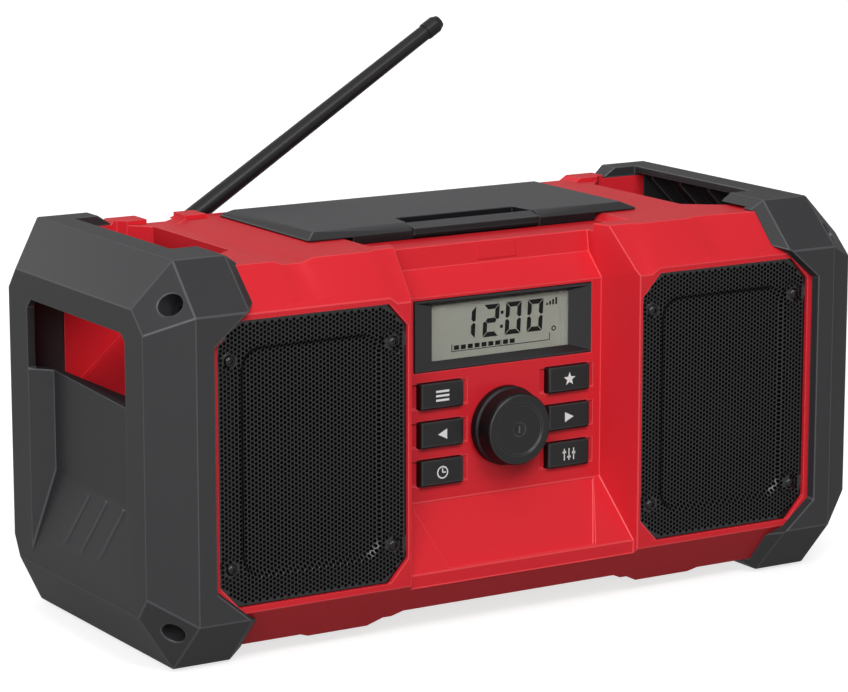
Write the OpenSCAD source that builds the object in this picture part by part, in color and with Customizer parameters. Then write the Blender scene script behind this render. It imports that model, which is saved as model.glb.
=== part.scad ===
/* [Overall] */
// Width over the two end caps
overall_w = 410; // [400:1:430]
// Depth over the two end caps
overall_d = 187; // [185:1:195]
// Height of the end caps without the feet
cap_h = 196; // [194:1:205]
// How far the rubber feet stand below the end caps
foot_proud = 1.5; // [1:0.5:3]

/* [End caps] */
// Wall of the end caps
cap_wall = 4; // [3:0.5:4.5]
// Width of the long side bevel at the top
top_bevel_x = 21.2; // [18:0.1:24]
// Height of the long side bevel at the top
top_bevel_z = 21.2; // [18:0.1:24]
// Width of the long side bevel at the bottom
low_bevel_x = 18.5; // [15:0.1:21]
// Height of the long side bevel at the bottom
low_bevel_z = 28; // [24:0.1:31]
// Depth of the front bevels
front_bevel_y = 24; // [22:0.1:26]
// Height of the upper front bevel
front_bevel_z = 23.3; // [21:0.1:25]
// Height of the lower front bevel
front_low_bevel_z = 25.7; // [23:0.1:28]
// Depth of the back bevels
back_bevel_y = 17.3; // [15:0.1:19]
// Height of the back bevels
back_bevel_z = 23; // [21:0.1:25]
// Width of the upright corner bevels
upright_x = 20.3; // [18:0.1:22]
// Depth of the upright front bevels
upright_front_y = 13.9; // [12:0.1:16]
// Depth of the upright back bevels
upright_back_y = 27.5; // [25:0.1:30]
// Drop of the corner facets on the side face, at the top
corner_top_drop = 31.8; // [29:0.1:34]
// Rise of the corner facets on the side face, at the bottom
corner_low_rise = 38.7; // [35:0.1:41]
// How far in from the side the claws reach
claw_reach = 48.5; // [46:0.5:52]
// Run of the slanted edge of the claws
claw_slant = 7; // [5:0.5:8]
// How far in from the side the front plate reaches
plate_reach = 30; // [28:0.5:31]
// Run of the slanted edge of the front plate
plate_slant = 1.5; // [1:0.1:3]
// Height of the diagonal where the front plate meets a claw
plate_diagonal_z = 15.6; // [13:0.1:18]

/* [Carrying bars] */
// Width of a bar's top face
bar_top_w = 13.9; // [12:0.1:16]
// Front end of the hand opening, from the front of the caps
hand_front = 52.5; // [49.5:0.5:55.5]
// Back end of the hand opening, from the back of the caps
hand_back = 29.5; // [28.5:0.5:31.5]
// Height of the bottom of the side window
window_z0 = 127; // [124:0.5:130]
// Height of the side window
window_h = 34.7; // [32:0.1:36]
// Front end of the side window, from the front of the caps
window_front = 32.5; // [32:0.5:37.5]
// Back end of the side window, from the back of the caps
window_back = 48.5; // [45.5:0.5:51.5]
// Fall of the window's sill towards the front
sill_fall = 6; // [0:0.5:7]
// Depth of the hand pocket's floor below the sill
pocket_drop = 8; // [4:0.5:10]
// Cut across the upper corners of the window
window_corner = 4; // [2:0.5:6]
// Depth of the panel recessed into the side
recess_depth = 10; // [7:0.5:11]
// Height at which the recessed panel starts to slope out
recess_bend_z = 76; // [70:1:82]
// Height at which the slope meets the side face
recess_foot_z = 36; // [34:1:42]
// Draft of the recess ends over its depth
recess_draft = 8; // [5:0.5:9]
// Height of the slanted lines raised on the slope
ridge_t = 0.8; // [0.4:0.1:1.2]
// Thickness of the ribs inside a bar
bar_rib_t = 1.6; // [1.2:0.1:2.4]
// Distance between the ribs inside a bar
bar_rib_pitch = 26; // [24:1:28]

/* [Housing] */
// Wall of the red housing
wall = 3; // [2.5:0.1:3.2]
// Inset of the housing's end walls from the side of the caps
end_inset = 29; // [28.5:0.1:29.5]
// Inset of the speaker face from the front of the caps
face_inset = 4.5; // [4:0.1:5]
// Inset of the back face from the back of the caps
back_inset = 7.5; // [7:0.1:8]
// Drop of the top face below the top of the caps
top_drop = 5.5; // [5:0.1:6]
// Height of the bottom face
body_z0 = 5; // [4:0.1:6]
// Height of the lip under the speaker face
lip_z = 27.8; // [26:0.1:29]
// Depth of the sloping shoulders
shoulder_y = 19.6; // [18:0.1:21]
// Depth of the rear housing behind the joint
rear_depth = 26; // [25.5:0.1:26.5]
// Chamfer along the back of the top face
back_chamfer = 4; // [3:0.5:6]
// Depth of the bands and pockets sunk into the shoulders
shoulder_sink = 2.1; // [1:0.1:2.5]
// Depth of the ledge for the folded antenna
ledge_depth = 12; // [11:0.1:12.5]
// Height of the antenna ledge
ledge_z = 147; // [146:0.5:148]

/* [Control panel] */
// Depth of the panel behind the speaker face
panel_set_back = 21.9; // [21:0.1:22.5]
// Half the width of the panel
panel_half_w = 58; // [57.5:0.1:59]
// Half the width of the recess at the speaker face
mouth_half_w = 66.5; // [66:0.1:66.8]
// Bottom of the upright part of the panel
panel_z0 = 62.5; // [61.5:0.1:64]
// Top of the upright part of the panel
panel_z1 = 164.7; // [164.4:0.1:165.5]
// Depth of the brow above the panel
brow_y = 11.5; // [11:0.1:12]
// Half the width of the display opening
display_half_w = 52; // [50:0.1:52.5]
// Bottom of the display opening
display_z0 = 127.3; // [126:0.1:128]
// Height of the display opening
display_h = 35.7; // [35:0.1:36]
// Width of a button
button_w = 24.6; // [23:0.1:25]
// Height of a button
button_h = 13.2; // [12:0.1:14]
// Distance of the button centres from the middle
button_x = 37.3; // [37:0.1:38]
// Heights of the three rows of buttons
button_rows = [115.5, 96.2, 77];
// How far the buttons stand proud of the panel
button_proud = 3; // [2.5:0.1:4]
// Travel of a button
button_travel = 1.2; // [0.8:0.1:1.2]
// Radius of the knob at its skirt
knob_r = 20; // [18:0.1:21]
// Length of the knob
knob_len = 14.5; // [12:0.1:17]
// Height of the knob's axis
knob_z = 96.3; // [95:0.1:98]
// Travel of the knob when pushed
knob_travel = 0.8; // [0.5:0.1:0.9]

/* [Speakers] */
// Distance of a grille from the housing's end wall
grille_end = 5; // [5:0.1:8]
// Distance of a grille from the shoulder and from the lip
grille_edge = 3.2; // [3:0.1:5]
// Distance of a grille from the middle
grille_x0 = 68.65; // [68.5:0.05:70]
// Width of a grille's corner cut
grille_cut_x = 10.2; // [8:0.1:12]
// Height of a grille's corner cut
grille_cut_z = 11.2; // [9:0.1:13]
// Thickness of the grille sheet
grille_t = 1; // [0.8:0.1:1.2]
// Depth of the grille sheet behind the speaker face
grille_set_back = 2; // [1.5:0.1:2]
// Depth of the pressed middle of a grille
dish_depth = 2.5; // [1.5:0.1:2.6]
// Distance of the pressed middle from the grille's edge
dish_margin = 16; // [14:0.5:19]
// Width of the baffle around the speaker cone
cone_margin = 8.9; // [8.5:0.1:12]
// How far the cone's opening reaches beyond the magnet
magnet_margin = 12; // [11:0.5:17]

/* [Lid and storage] */
// Distance of the lid's middle from the housing's middle
lid_x = 5.5; // [0:0.5:8]
// Half the width of the lid
lid_half_w = 96.6; // [94:0.1:98]
// Distance of the lid from the brow
lid_set_back = 22.1; // [20:0.1:24]
// Width of the lid's edge bevel
lid_bevel = 5.5; // [4:0.1:8]
// Height of the lid above the top face
lid_rise = 4; // [3.6:0.1:4.2]
// Half the width of the storage opening
tub_half_w = 76; // [74:0.5:77]
// Depth of the storage tub
tub_depth = 45; // [38:0.5:46]
// Half the width of the lid latch
latch_half_w = 37; // [34:0.5:40]

/* [Antenna] */
// Distance of the antenna's pivot from the housing's end wall
antenna_end = 47.3; // [45:0.1:50]
// Height of the antenna's pivot
antenna_z = 165.9; // [165.5:0.1:166.5]
// Elevation of the antenna as it stands
antenna_rise = 31.8; // [20:0.1:60]
// Length of the antenna from its pivot
antenna_len = 216; // [150:1:260]
// Radius of the whip at its foot
whip_r = 5; // [4:0.1:5]
// Radius of the whip at its tip
whip_tip_r = 4.1; // [3.5:0.1:4.5]

/* [Battery bay] */
// Half the width of the battery door
door_half_w = 61.5; // [58:0.5:62]
// Bottom of the battery door
door_z0 = 36.5; // [36:0.1:37.5]
// Top of the battery door
door_z1 = 139.5; // [136:0.5:140]
// Thickness of the battery door
door_t = 3; // [2.5:0.1:3]
// Depth of the battery bay
bay_depth = 65; // [60:0.5:66]

/* [Fits] */
// Gap between parts that move past each other
gap = 0.3; // [0.25:0.05:0.4]
// Gap between parts that are fixed to each other
fit = 0.2; // [0.1:0.05:0.25]
// Radial clearance of pins and shafts
run = 0.05; // [0.03:0.01:0.08]

/* [Hidden] */
$fn = 48;

red = "#cf2631";
black = "#3c3c3e";
rubber = "#2b2b2d";
steel = "#b8babd";
board_green = "#2f6b45";

half_w = overall_w / 2;
half_d = overall_d / 2;
body_end = half_w - end_inset;
body_top = cap_h - top_drop;
face_y = -half_d + face_inset;
back_y = half_d - back_inset;
split_y = back_y - rear_depth;
ledge_y = back_y - ledge_depth;
hand_front_y = -half_d + hand_front;
hand_back_y = half_d - hand_back;
window_y0 = -half_d + window_front;
window_y1 = half_d - window_back;
pocket_z0 = window_z0 - pocket_drop;
far = 500;
over = 1; // cuts run this far past what they cut

// ---- directions and planes ----

function unit(v) = v / norm(v);

// A plane through three points, as its outward normal and its distance from the origin
function face(a, b, c, inside) =
  let (n = unit(cross(b - a, c - a)), s = n * (a - inside) < 0 ? -1 : 1)
  [s * n, s * n * a];

// The closed outline pts, listed clockwise, moved inwards by d
function inset(pts, d) =
  let (n = len(pts))
  [for (i = [0 : n - 1])
    let (
      u = unit(pts[i] - pts[(i + n - 1) % n]),
      v = unit(pts[(i + 1) % n] - pts[i]),
      nu = [u[1], -u[0]],
      nv = [v[1], -v[0]]
    )
    pts[i] + (nu + nv) * d / (1 + nu * nv)];

// A rectangle with its four corners cut off
function cut_rectangle(x0, x1, z0, z1, cx, cz) = [
  [x0, z0 + cz], [x0, z1 - cz], [x0 + cx, z1], [x1 - cx, z1],
  [x1, z1 - cz], [x1, z0 + cz], [x1 - cx, z0], [x0 + cx, z0]
];

// Everything beyond a plane that is moved outwards by shift
module beyond(f, shift = 0)
  translate(f[0] * (f[1] + shift))
    rotate([0, acos(f[0][2]), atan2(f[0][1], f[0][0])])
      translate([-far, -far, 0])
        cube([2 * far, 2 * far, far]);

// Stands an outline in Y and Z between two places in X
module across(x0, x1)
  translate([x0, 0, 0])
    rotate([90, 0, 90])
      linear_extrude(x1 - x0)
        children();

// Stands an outline in X and Z between two places in Y
module through(y0, y1)
  translate([0, y1, 0])
    rotate([90, 0, 0])
      linear_extrude(y1 - y0)
        children();

// Lays an outline in X and Y between two heights
module upward(z0, z1)
  translate([0, 0, z0])
    linear_extrude(z1 - z0)
      children();

module block(x0, x1, y0, y1, z0, z1)
  translate([x0, y0, z0])
    cube([x1 - x0, y1 - y0, z1 - z0]);

// A block that reaches as far to the left as to the right
module wide(x, y0, y1, z0, z1)
  block(-x, x, y0, y1, z0, z1);

// Turns +Z into the direction d at the point p
module aim(p, d)
  translate(p)
    rotate([0, acos(unit(d)[2]), atan2(d[1], d[0])])
      children();

module rod_x(x0, x1, y, z, r)
  translate([x0, y, z])
    rotate([0, 90, 0])
      cylinder(h = x1 - x0, r = r);

module axle(x, y, z, r)
  rod_x(-x, x, y, z, r);

module rod_y(x, y0, y1, z, r)
  translate([x, y0, z])
    rotate([-90, 0, 0])
      cylinder(h = y1 - y0, r = r);

// Spins an outline of radius and depth about an axis along Y
module spin_y(x, z)
  translate([x, 0, z])
    rotate([-90, 0, 0])
      rotate_extrude()
        children();

module both_sides()
  for (s = [0, 1])
    mirror([s, 0, 0])
      children();

module on_side(side)
  mirror([side < 0 ? 1 : 0, 0, 0])
    children();

// Lifts the whole radio onto its feet
module standing()
  translate([0, 0, foot_proud])
    children();

// The same for what belongs to the lid, whose middle is off the housing's
module at_lid()
  translate([lid_x, 0, 0])
    children();

// ---- end cap geometry, for the right-hand cap ----

core = [half_w - 40, 0, cap_h / 2];
claw_x = half_w - claw_reach;
claw_foot_x = claw_x - claw_slant;
plate_x = half_w - plate_reach;
bar_x = half_w - top_bevel_x - bar_top_w;

// The three corners that fix a corner facet: on the top or bottom, the side and the front or back
function corner_points(back, low) =
  let (
    sy = back ? 1 : -1,
    z0 = low ? 0 : cap_h,
    sz = low ? 1 : -1,
    bevel_z = low ? front_low_bevel_z : back ? back_bevel_z : front_bevel_z
  )
  [
    [half_w - (low ? low_bevel_x : top_bevel_x),
      sy * (half_d - (back ? back_bevel_y : front_bevel_y)), z0],
    [half_w, sy * (half_d - (back ? upright_back_y : upright_front_y)),
      z0 + sz * (low ? corner_low_rise : corner_top_drop)],
    [half_w - upright_x, sy * half_d, z0 + sz * bevel_z]
  ];

corners = [for (back = [false, true]) for (low = [false, true]) corner_points(back, low)];

function bevel_y(sy, low) =
  let (
    y = sy * half_d,
    run_y = sy > 0 ? back_bevel_y : front_bevel_y,
    rise = low ? front_low_bevel_z : sy > 0 ? back_bevel_z : front_bevel_z,
    z = low ? 0 : cap_h,
    dz = low ? rise : -rise
  )
  face([0, y - sy * run_y, z], [1, y - sy * run_y, z], [0, y, z + dz], core);

cap_bevels = concat(
  [
    face([half_w - top_bevel_x, 0, cap_h], [half_w - top_bevel_x, 1, cap_h],
      [half_w, 0, cap_h - top_bevel_z], core),
    face([half_w - low_bevel_x, 0, 0], [half_w - low_bevel_x, 1, 0], [half_w, 0, low_bevel_z], core)
  ],
  [for (sy = [-1, 1]) for (low = [false, true]) bevel_y(sy, low)],
  [for (sy = [-1, 1])
    let (y = sy * half_d, back_y = sy > 0 ? upright_back_y : upright_front_y)
    face([half_w, y - sy * back_y, 0], [half_w, y - sy * back_y, 1], [half_w - upright_x, y, 0], core)],
  [for (c = corners) face(c[0], c[1], c[2], core)]
);

// Slanted edges of the claws, one for each surface that they lie on
function claw_edge(p, q, outward) =
  face(p, q, p - [claw_slant, 0, 0] - outward * top_drop * 0.85, core);

claw_edges = concat(
  [claw_edge([claw_x, 0, cap_h], [claw_x, 1, cap_h], [0, 0, 1]),
  claw_edge([claw_x, 0, 0], [claw_x, 1, 0], [0, 0, -1])],
  [for (sy = [-1, 1]) for (low = [false, true])
    let (f = bevel_y(sy, low), foot = f[0] * f[1])
    claw_edge([claw_x, foot[1], foot[2]],
      [claw_x, foot[1] + f[0][2] * 10, foot[2] - f[0][1] * 10], f[0])]
);

// Inner edges of the plates on the front and back: an upright one and a diagonal at each end
function plate_edges(sy) =
  let (
    y = sy * half_d,
    deep = sy * (half_d - face_inset),
    z0 = front_low_bevel_z - 0.7,
    z1 = cap_h - front_bevel_z + 0.7,
    d = unit([plate_diagonal_z, plate_x - claw_x])
  )
  concat(
    [face([plate_x, y, 0], [plate_x, y, 1], [plate_x - plate_slant, deep, 0], [half_w, y, 0])],
    [for (e = [[z0, z0 + plate_diagonal_z, -1], [z1, z1 - plate_diagonal_z, 1]])
      face([claw_x, y, e[0]], [plate_x, y, e[1]],
        [claw_x - d[0] * plate_slant, deep, e[0] - e[2] * d[1] * plate_slant],
        [half_w, y, e[0] + e[2] * far])]
  );

module cap_form(shrink, from) {
  difference() {
    block(from, half_w - shrink, -half_d + shrink, half_d - shrink, shrink, cap_h - shrink);
    for (f = cap_bevels)
      beyond(f, -shrink);
  }
}

// The panel recessed into the side, grown by its wall for what stands behind it
module side_recess(grow) {
  x0 = half_w - recess_depth - grow;
  slope = recess_depth / (recess_bend_z - recess_foot_z);
  draft = recess_draft / recess_depth;
  near = recess_depth + grow;
  intersection() {
    through(-half_d, half_d)
      polygon([
        [x0, window_z0], [half_w + near, window_z0],
        [half_w + near, recess_foot_z - grow / slope - near / slope],
        [half_w - grow, recess_foot_z], [x0, recess_bend_z]
      ]);
    upward(0, cap_h)
      polygon([
        [x0, window_y0 + recess_draft - grow], [x0, window_y1 - recess_draft + grow],
        [half_w + near, window_y1 + grow + draft * near],
        [half_w + near, window_y0 - grow - draft * near]
      ]);
  }
}

// Slanted lines raised on the slope of the recess
ridge_pitch = 18.4;
ridge_w = 1.6;
ridge_run = 15.2;

module recess_ridges() {
  low_z = recess_foot_z + 9;
  high_z = recess_bend_z - 4;
  for (i = [0 : 2])
    across(half_w - recess_depth - over, half_w + recess_depth)
      translate([window_y0 + 21.4 + i * ridge_pitch, 0])
        polygon([[0, high_z], [ridge_w, high_z], [ridge_run + ridge_w, low_z], [ridge_run, low_z]]);
}

// Each corner screw starts at the middle of its facet and leans inwards
screw_heads = [for (c = corners) (c[0] + c[1] + c[2]) / 3];
function screw_way(p) = unit([-1, p[1] > 0 ? -0.5 : 0.3, p[2] > cap_h / 2 ? -0.5 : 0.5]);
cap_screw_r = 2;
cap_screw_head_r = 4.2;
cap_screw_head_t = 2.8;
cap_screw_sink = 10;
cap_screw_end = 36;
tower_r = 9;
counterbore_r = 5.6;

undercut = lip_z - body_z0;
pocket_wall = 3.5;

module screw_towers()
  for (p = screw_heads)
    aim(p, screw_way(p))
      translate([0, 0, -tower_r])
        cylinder(h = 3 * tower_r + cap_screw_sink, r = tower_r);

module cap_hollow() {
  difference() {
    cap_form(cap_wall, body_end + fit);
    side_recess(cap_wall);
    intersection() {
      screw_towers();
      block(body_end, half_w, -half_d, half_d, 0, cap_h);
    }
    // walls and floor of the hand pocket, and its inner wall beside the housing
    difference() {
      block(0, half_w, window_y0 - over - pocket_wall, hand_back_y + pocket_wall,
        pocket_z0 - pocket_wall, cap_h);
      block(0, half_w, window_y0 - over, hand_back_y, pocket_z0, cap_h);
    }
    block(0, body_end + pocket_wall, window_y0 - over - pocket_wall, hand_back_y + pocket_wall,
      pocket_z0 - 20, pocket_z0);
    bar_ribs();
  }
}

module bar_ribs() {
  low_z = window_z0 + window_h + 2;
  for (i = [0 : 3])
    through(hand_back_y - 8 - i * bar_rib_pitch, hand_back_y - 8 - i * bar_rib_pitch + bar_rib_t)
      polygon([
        [bar_x + 3, cap_h - cap_wall], [half_w - top_bevel_x, cap_h - cap_wall],
        [half_w - cap_wall, cap_h - top_bevel_z - over],
        [half_w - cap_wall, low_z]
      ]);
}

module end_cap(side) standing() on_side(side) {
  y0 = window_y0;
  y1 = window_y1;
  z1 = window_z0 + window_h;
  c = window_corner;
  difference() {
    cap_form(0, claw_foot_x);
    for (f = claw_edges)
      beyond(f);
    for (sy = [-1, 1]) {
      edges = plate_edges(sy);
      intersection() {
        beyond(edges[0]);
        beyond(edges[1]);
        beyond(edges[2]);
      }
    }
    cap_hollow();
    housing_form(fit);
    // hand opening in the top, and the space under the bar's top face
    block(0, bar_x, hand_front_y, hand_back_y, pocket_z0, cap_h + over);
    difference() {
      block(0, body_end + over, window_y0 - over, hand_back_y, pocket_z0, cap_h - cap_wall);
      bar_ribs();
    }
    // side window
    across(half_w - 2 * cap_wall - recess_depth, half_w + over)
      polygon([
        [y0, window_z0 - sill_fall], [y0, z1 - c], [y0 + c, z1],
        [y1 - c, z1], [y1, z1 - c], [y1, window_z0]
      ]);
    difference() {
      side_recess(0);
      difference() {
        recess_ridges();
        side_recess(-ridge_t);
      }
    }
    for (p = screw_heads)
      aim(p, screw_way(p)) {
        translate([0, 0, -2 * tower_r])
          cylinder(h = 2 * tower_r + cap_screw_sink, r = counterbore_r);
        cylinder(h = cap_screw_end, r = cap_screw_r + fit);
      }
    for (y = foot_places)
      foot_outline(y)
        square([foot_w + 2 * fit, foot_l + 2 * fit], center = true);
  }
}

module left_end_cap() color(black) end_cap(-1);
module right_end_cap() color(black) end_cap(1);

module cap_screws(side) standing() on_side(side)
  for (p = screw_heads)
    aim(p, screw_way(p))
      difference() {
        union() {
          translate([0, 0, cap_screw_sink - cap_screw_head_t])
            cylinder(h = cap_screw_head_t, r = cap_screw_head_r);
          translate([0, 0, cap_screw_sink - over])
            cylinder(h = cap_screw_end - cap_screw_sink, r = cap_screw_r);
        }
        translate([0, 0, cap_screw_sink - cap_screw_head_t - over])
          cylinder(h = over + 1.6, r = 1.8, $fn = 6);
      }

module left_cap_screws() color(steel) cap_screws(-1);
module right_cap_screws() color(steel) cap_screws(1);

// ---- feet ----

foot_w = 18;
foot_l = 24;
foot_sink = 2;
foot_x = half_w - low_bevel_x - 14;
foot_places = [-half_d + front_bevel_y + 20, half_d - back_bevel_y - 20];

module foot_outline(y)
  translate([foot_x, y, -over])
    linear_extrude(foot_sink + over)
      children();

module feet() color(rubber)
  both_sides()
    for (y = foot_places)
      translate([foot_x, y, 0])
        difference() {
          union() {
            translate([-foot_w / 2, -foot_l / 2, 0.4])
              cube([foot_w, foot_l, foot_proud + foot_sink - 0.4]);
            translate([-foot_w / 2 + 0.4, -foot_l / 2 + 0.4, 0])
              cube([foot_w - 0.8, foot_l - 0.8, 1]);
          }
          for (i = [-1 : 1])
            translate([-foot_w / 2 - over, i * 6 - 0.6, -over])
              cube([foot_w + 2 * over, 1.2, over + 0.7]);
        }

// ---- red housing ----

housing_outline = [
  [face_y, lip_z], [face_y, body_top - shoulder_y], [face_y + shoulder_y, body_top],
  [ledge_y - back_chamfer, body_top], [ledge_y, body_top - back_chamfer], [ledge_y, ledge_z + 7],
  [back_y, ledge_z], [back_y, lip_z + 2], [back_y - 18, body_z0],
  [face_y + undercut - 2.6, body_z0]
];

// The undersides are stepped: highest in the middle, lowest under the speakers
step_x = panel_half_w + 22;
outer_step_x = body_end - 63;
outer_step_rise = 1.8;
step_half = [
  [panel_half_w + 4.4, 6.4], [panel_half_w + 10, 3.9], [panel_half_w + 15, 3.9], [step_x, 0]
];

module underside_steps(grow) {
  through(-half_d, half_d)
    polygon(concat(
      [[step_x + grow, -over], [-step_x - grow, -over]],
      [for (i = [3 : -1 : 0]) [-step_half[i][0] - grow, body_z0 + step_half[i][1] + grow]],
      [for (p = step_half) [p[0] + grow, body_z0 + p[1] + grow]]
    ));
  both_sides()
    through(-half_d, half_d)
      polygon([
        [outer_step_x - grow, -over], [outer_step_x - grow, body_z0 + grow],
        [outer_step_x + 5 - grow, body_z0 + outer_step_rise + grow],
        [body_end + over, body_z0 + outer_step_rise + grow], [body_end + over, -over]
      ]);
}

// A cut along the sloping shoulders. Its outline is in X and the depth below the slope
module shoulder_cut(from, outline)
  translate([0, face_y, body_top - shoulder_y])
    rotate([-45, 0, 0])
      translate([0, 0, from])
        linear_extrude(shoulder_y * sqrt(2) - from + 2 * wall)
          polygon(outline);

// The shoulders are sunk beside the centre recess and between a middle field and the caps,
// and on the antenna's side the outer pocket goes on over the top face as a groove
band_x = [for (d = [-6, -6, 7.5, 11.6]) mouth_half_w + d];
pocket_x = [for (d = [66.9, 61.3, 51.1, 44.8]) body_end - d];
pocket_end = 3.5;

// Outline of a sink from the places where its first wall, floor and last wall start and end
function sunk(x, grow) = [
  [x[0] - grow, -far], [x[0] - grow, grow], [x[1] - grow / 2, shoulder_sink + grow],
  [x[2] + grow / 2, shoulder_sink + grow], [x[3] + grow, grow], [x[3] + grow, -far]
];

module shoulder_sinks(grow) {
  both_sides()
    shoulder_cut(-far / 10, sunk(band_x, grow));
  shoulder_cut(pocket_end - grow, sunk([pocket_x[0], pocket_x[1], pocket_x[2], claw_foot_x - grow], grow));
  mirror([1, 0, 0]) {
    shoulder_cut(pocket_end - grow, sunk(pocket_x, grow));
    translate([0, 0, body_top])
      mirror([0, 0, 1])
        through(face_y + shoulder_y, half_d)
          polygon(sunk(pocket_x, grow));
  }
}

// Low humps along the back of the top face, one on the right and two beside the antenna
hump_h = 2;
module rear_humps()
  for (x = [
    [pocket_x[3], claw_foot_x - 1.5], [-claw_foot_x + 1.5, -pocket_x[3]],
    [-pocket_x[0] - 3.5, -pocket_x[0] + 11.5]
  ])
    through(split_y, ledge_y)
      polygon([
        [x[0] - (x[0] > 0 ? 5 : 1.5), body_top - over], [x[0], body_top + hump_h],
        [x[1], body_top + hump_h], [x[1] + 1.5, body_top - over]
      ]);

module housing_form(grow) {
  difference() {
    across(-body_end - grow, body_end + grow)
      polygon(inset(housing_outline, -grow));
    underside_steps(-grow);
  }
}

// Centre recess: the space in front of the brow, the panel and the lower slope
panel_y = face_y + panel_set_back;
brow_back_y = panel_y + brow_y;
low_face_y = face_y + 2.2;
notch_z = body_top - 3.5;

recess_outline = [
  [-half_d - 40, lip_z - 2.2], [-half_d - 40, cap_h + 40], [brow_back_y + 1.9, cap_h + 40],
  [brow_back_y + 1.7, notch_z], [brow_back_y, panel_z1 + brow_y], [panel_y, panel_z1],
  [panel_y, panel_z0], [low_face_y, lip_z + 4.4], [low_face_y, lip_z - 2.2]
];
brow_outline = [
  [-half_d - 40, panel_z1], [-half_d - 40, cap_h + 40], [brow_back_y + 1.9, cap_h + 40],
  [brow_back_y + 1.7, notch_z], [brow_back_y, panel_z1 + brow_y], [panel_y, panel_z1]
];
recess_spread = (mouth_half_w - panel_half_w) / panel_set_back;
flare = face([panel_half_w, panel_y, panel_z1],
  [mouth_half_w, face_y, body_top - shoulder_y],
  [mouth_half_w - 2.8, face_y + shoulder_y - 0.8, body_top - 0.8], [0, panel_y, cap_h - 10]);

module centre_recess(grow) {
  x1 = panel_half_w + grow;
  x2 = x1 + recess_spread * (panel_y + half_d + 40);
  intersection() {
    across(-far, far)
      polygon(inset(recess_outline, -grow));
    upward(-far, far)
      polygon([
        [-x1, 0], [x1, 0], [x1, panel_y + grow], [x2, -half_d - 40],
        [-x2, -half_d - 40], [-x1, panel_y + grow]
      ]);
  }
  intersection() {
    across(-far / 4, far / 4)
      polygon(inset(brow_outline, -grow));
    difference() {
      block(-far / 4, far / 4, -far, 0, panel_z1 - 10, far);
      both_sides()
        beyond(flare, grow);
    }
  }
}

// The top face is lower in front of the lid
notch_half_w = 73;

module lid_notch(grow)
  through(brow_back_y - 1.4, tub_y0)
    polygon([
      [-notch_half_w - grow, notch_z - grow], [-notch_half_w - grow - 8, cap_h],
      [notch_half_w + grow + 8, cap_h], [notch_half_w + grow, notch_z - grow]
    ]);

// Closed slot in front of the tub for the hook of the lid latch
module latch_slot(grow)
  wide(latch_half_w + 1 + grow, lid_y0 + 0.5 - grow, tub_y0 - wall + grow,
    body_top - 7 - grow, cap_h);

// Finger space beside the bars: an upright wall and a floor that slopes outwards
scoop_x = body_end - 43;
scoop_floor = face([scoop_x, hand_back_y - 24, window_z0 + 21], [scoop_x, hand_front_y - 9, window_z0 + 36],
  [body_end, hand_front_y + 36, pocket_z0], [body_end, 0, cap_h]);

module hand_scoop(grow)
  both_sides()
    difference() {
      upward(window_z0 - 30, cap_h + over)
        polygon(inset([
          [scoop_x, hand_front_y + 11], [scoop_x, hand_back_y - 14], [scoop_x + 13, hand_back_y],
          [body_end + 14, hand_back_y], [body_end + 14, hand_front_y - 21],
          [scoop_x + 17, hand_front_y - 2]
        ], -grow));
      beyond(scoop_floor, grow);
    }

// Storage opening with a collar that hangs from the top wall
collar_z = body_top - 6.5;
lid_y0 = brow_back_y + lid_set_back;
lid_y1 = split_y - 2;
tub_y0 = lid_y0 + 10;
tub_y1 = lid_y1 - 8;

module storage_opening(grow, z0)
  wide(tub_half_w + grow, tub_y0 - grow, tub_y1 + grow, z0, cap_h + over);

// Posts that carry the control board
board_y = panel_y + 14.7;
board_posts = [for (s = [-1, 1]) for (z = [panel_z0 + 5, display_z0 - 6.8]) [s * (panel_half_w - 3.5), z]];
boss_r = 4.5;
boss_front_y = split_y - 25;
housing_screw_places = [[body_end - 9, 104], [body_end - 9, 50]];
housing_screw_r = 1.9;

module corner_bosses()
  both_sides()
    for (p = screw_heads)
      intersection() {
        aim(p, screw_way(p))
          translate([0, 0, cap_screw_sink])
            cylinder(h = cap_screw_end - cap_screw_sink + 2, r = boss_r);
        block(0, far, p[1] > 0 ? split_y : -half_d, p[1] > 0 ? half_d : split_y, 0, cap_h);
      }

module housing_cavity() {
  difference() {
    across(-body_end + wall, body_end - wall)
      polygon(inset(housing_outline, wall));
    centre_recess(wall);
    shoulder_sinks(wall);
    underside_steps(wall);
    hand_scoop(wall);
    corner_bosses();
    at_lid() {
      lid_notch(wall);
      latch_slot(wall);
      hinge_pockets(wall);
      difference() {
        storage_opening(wall, collar_z);
        storage_opening(0, collar_z - over);
      }
    }
    for (p = board_posts)
      rod_y(p[0], panel_y, board_y, p[1], 3);
    both_sides() {
      for (p = housing_screw_places) {
        rod_y(p[0], boss_front_y, back_y, p[1], boss_r);
        block(p[0], body_end, boss_front_y, back_y, p[1] - wall / 2, p[1] + wall / 2);
      }
      for (y = [main_board_y + 6, main_board_y + main_board_d - 6])
        translate([main_board_w / 2 - 6, y, 0])
          cylinder(h = main_board_z, r = 3);
    }
  }
}

module screw_bores()
  both_sides() {
    for (p = screw_heads)
      aim(p, screw_way(p))
        cylinder(h = cap_screw_end + 0.5, r = cap_screw_r);
    for (p = housing_screw_places) {
      rod_y(p[0], split_y - 16, back_y + over, p[1], housing_screw_r);
      rod_y(p[0], back_y - 4, back_y + over, p[1], 3.8);
    }
  }

module grille_outline(margin_in, margin_out)
  polygon(cut_rectangle(grille_x0 - margin_in, grille_x0 + grille_w + margin_out,
    grille_z0 - margin_out, grille_z0 + grille_h + margin_out, grille_cut_x, grille_cut_z));

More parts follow.
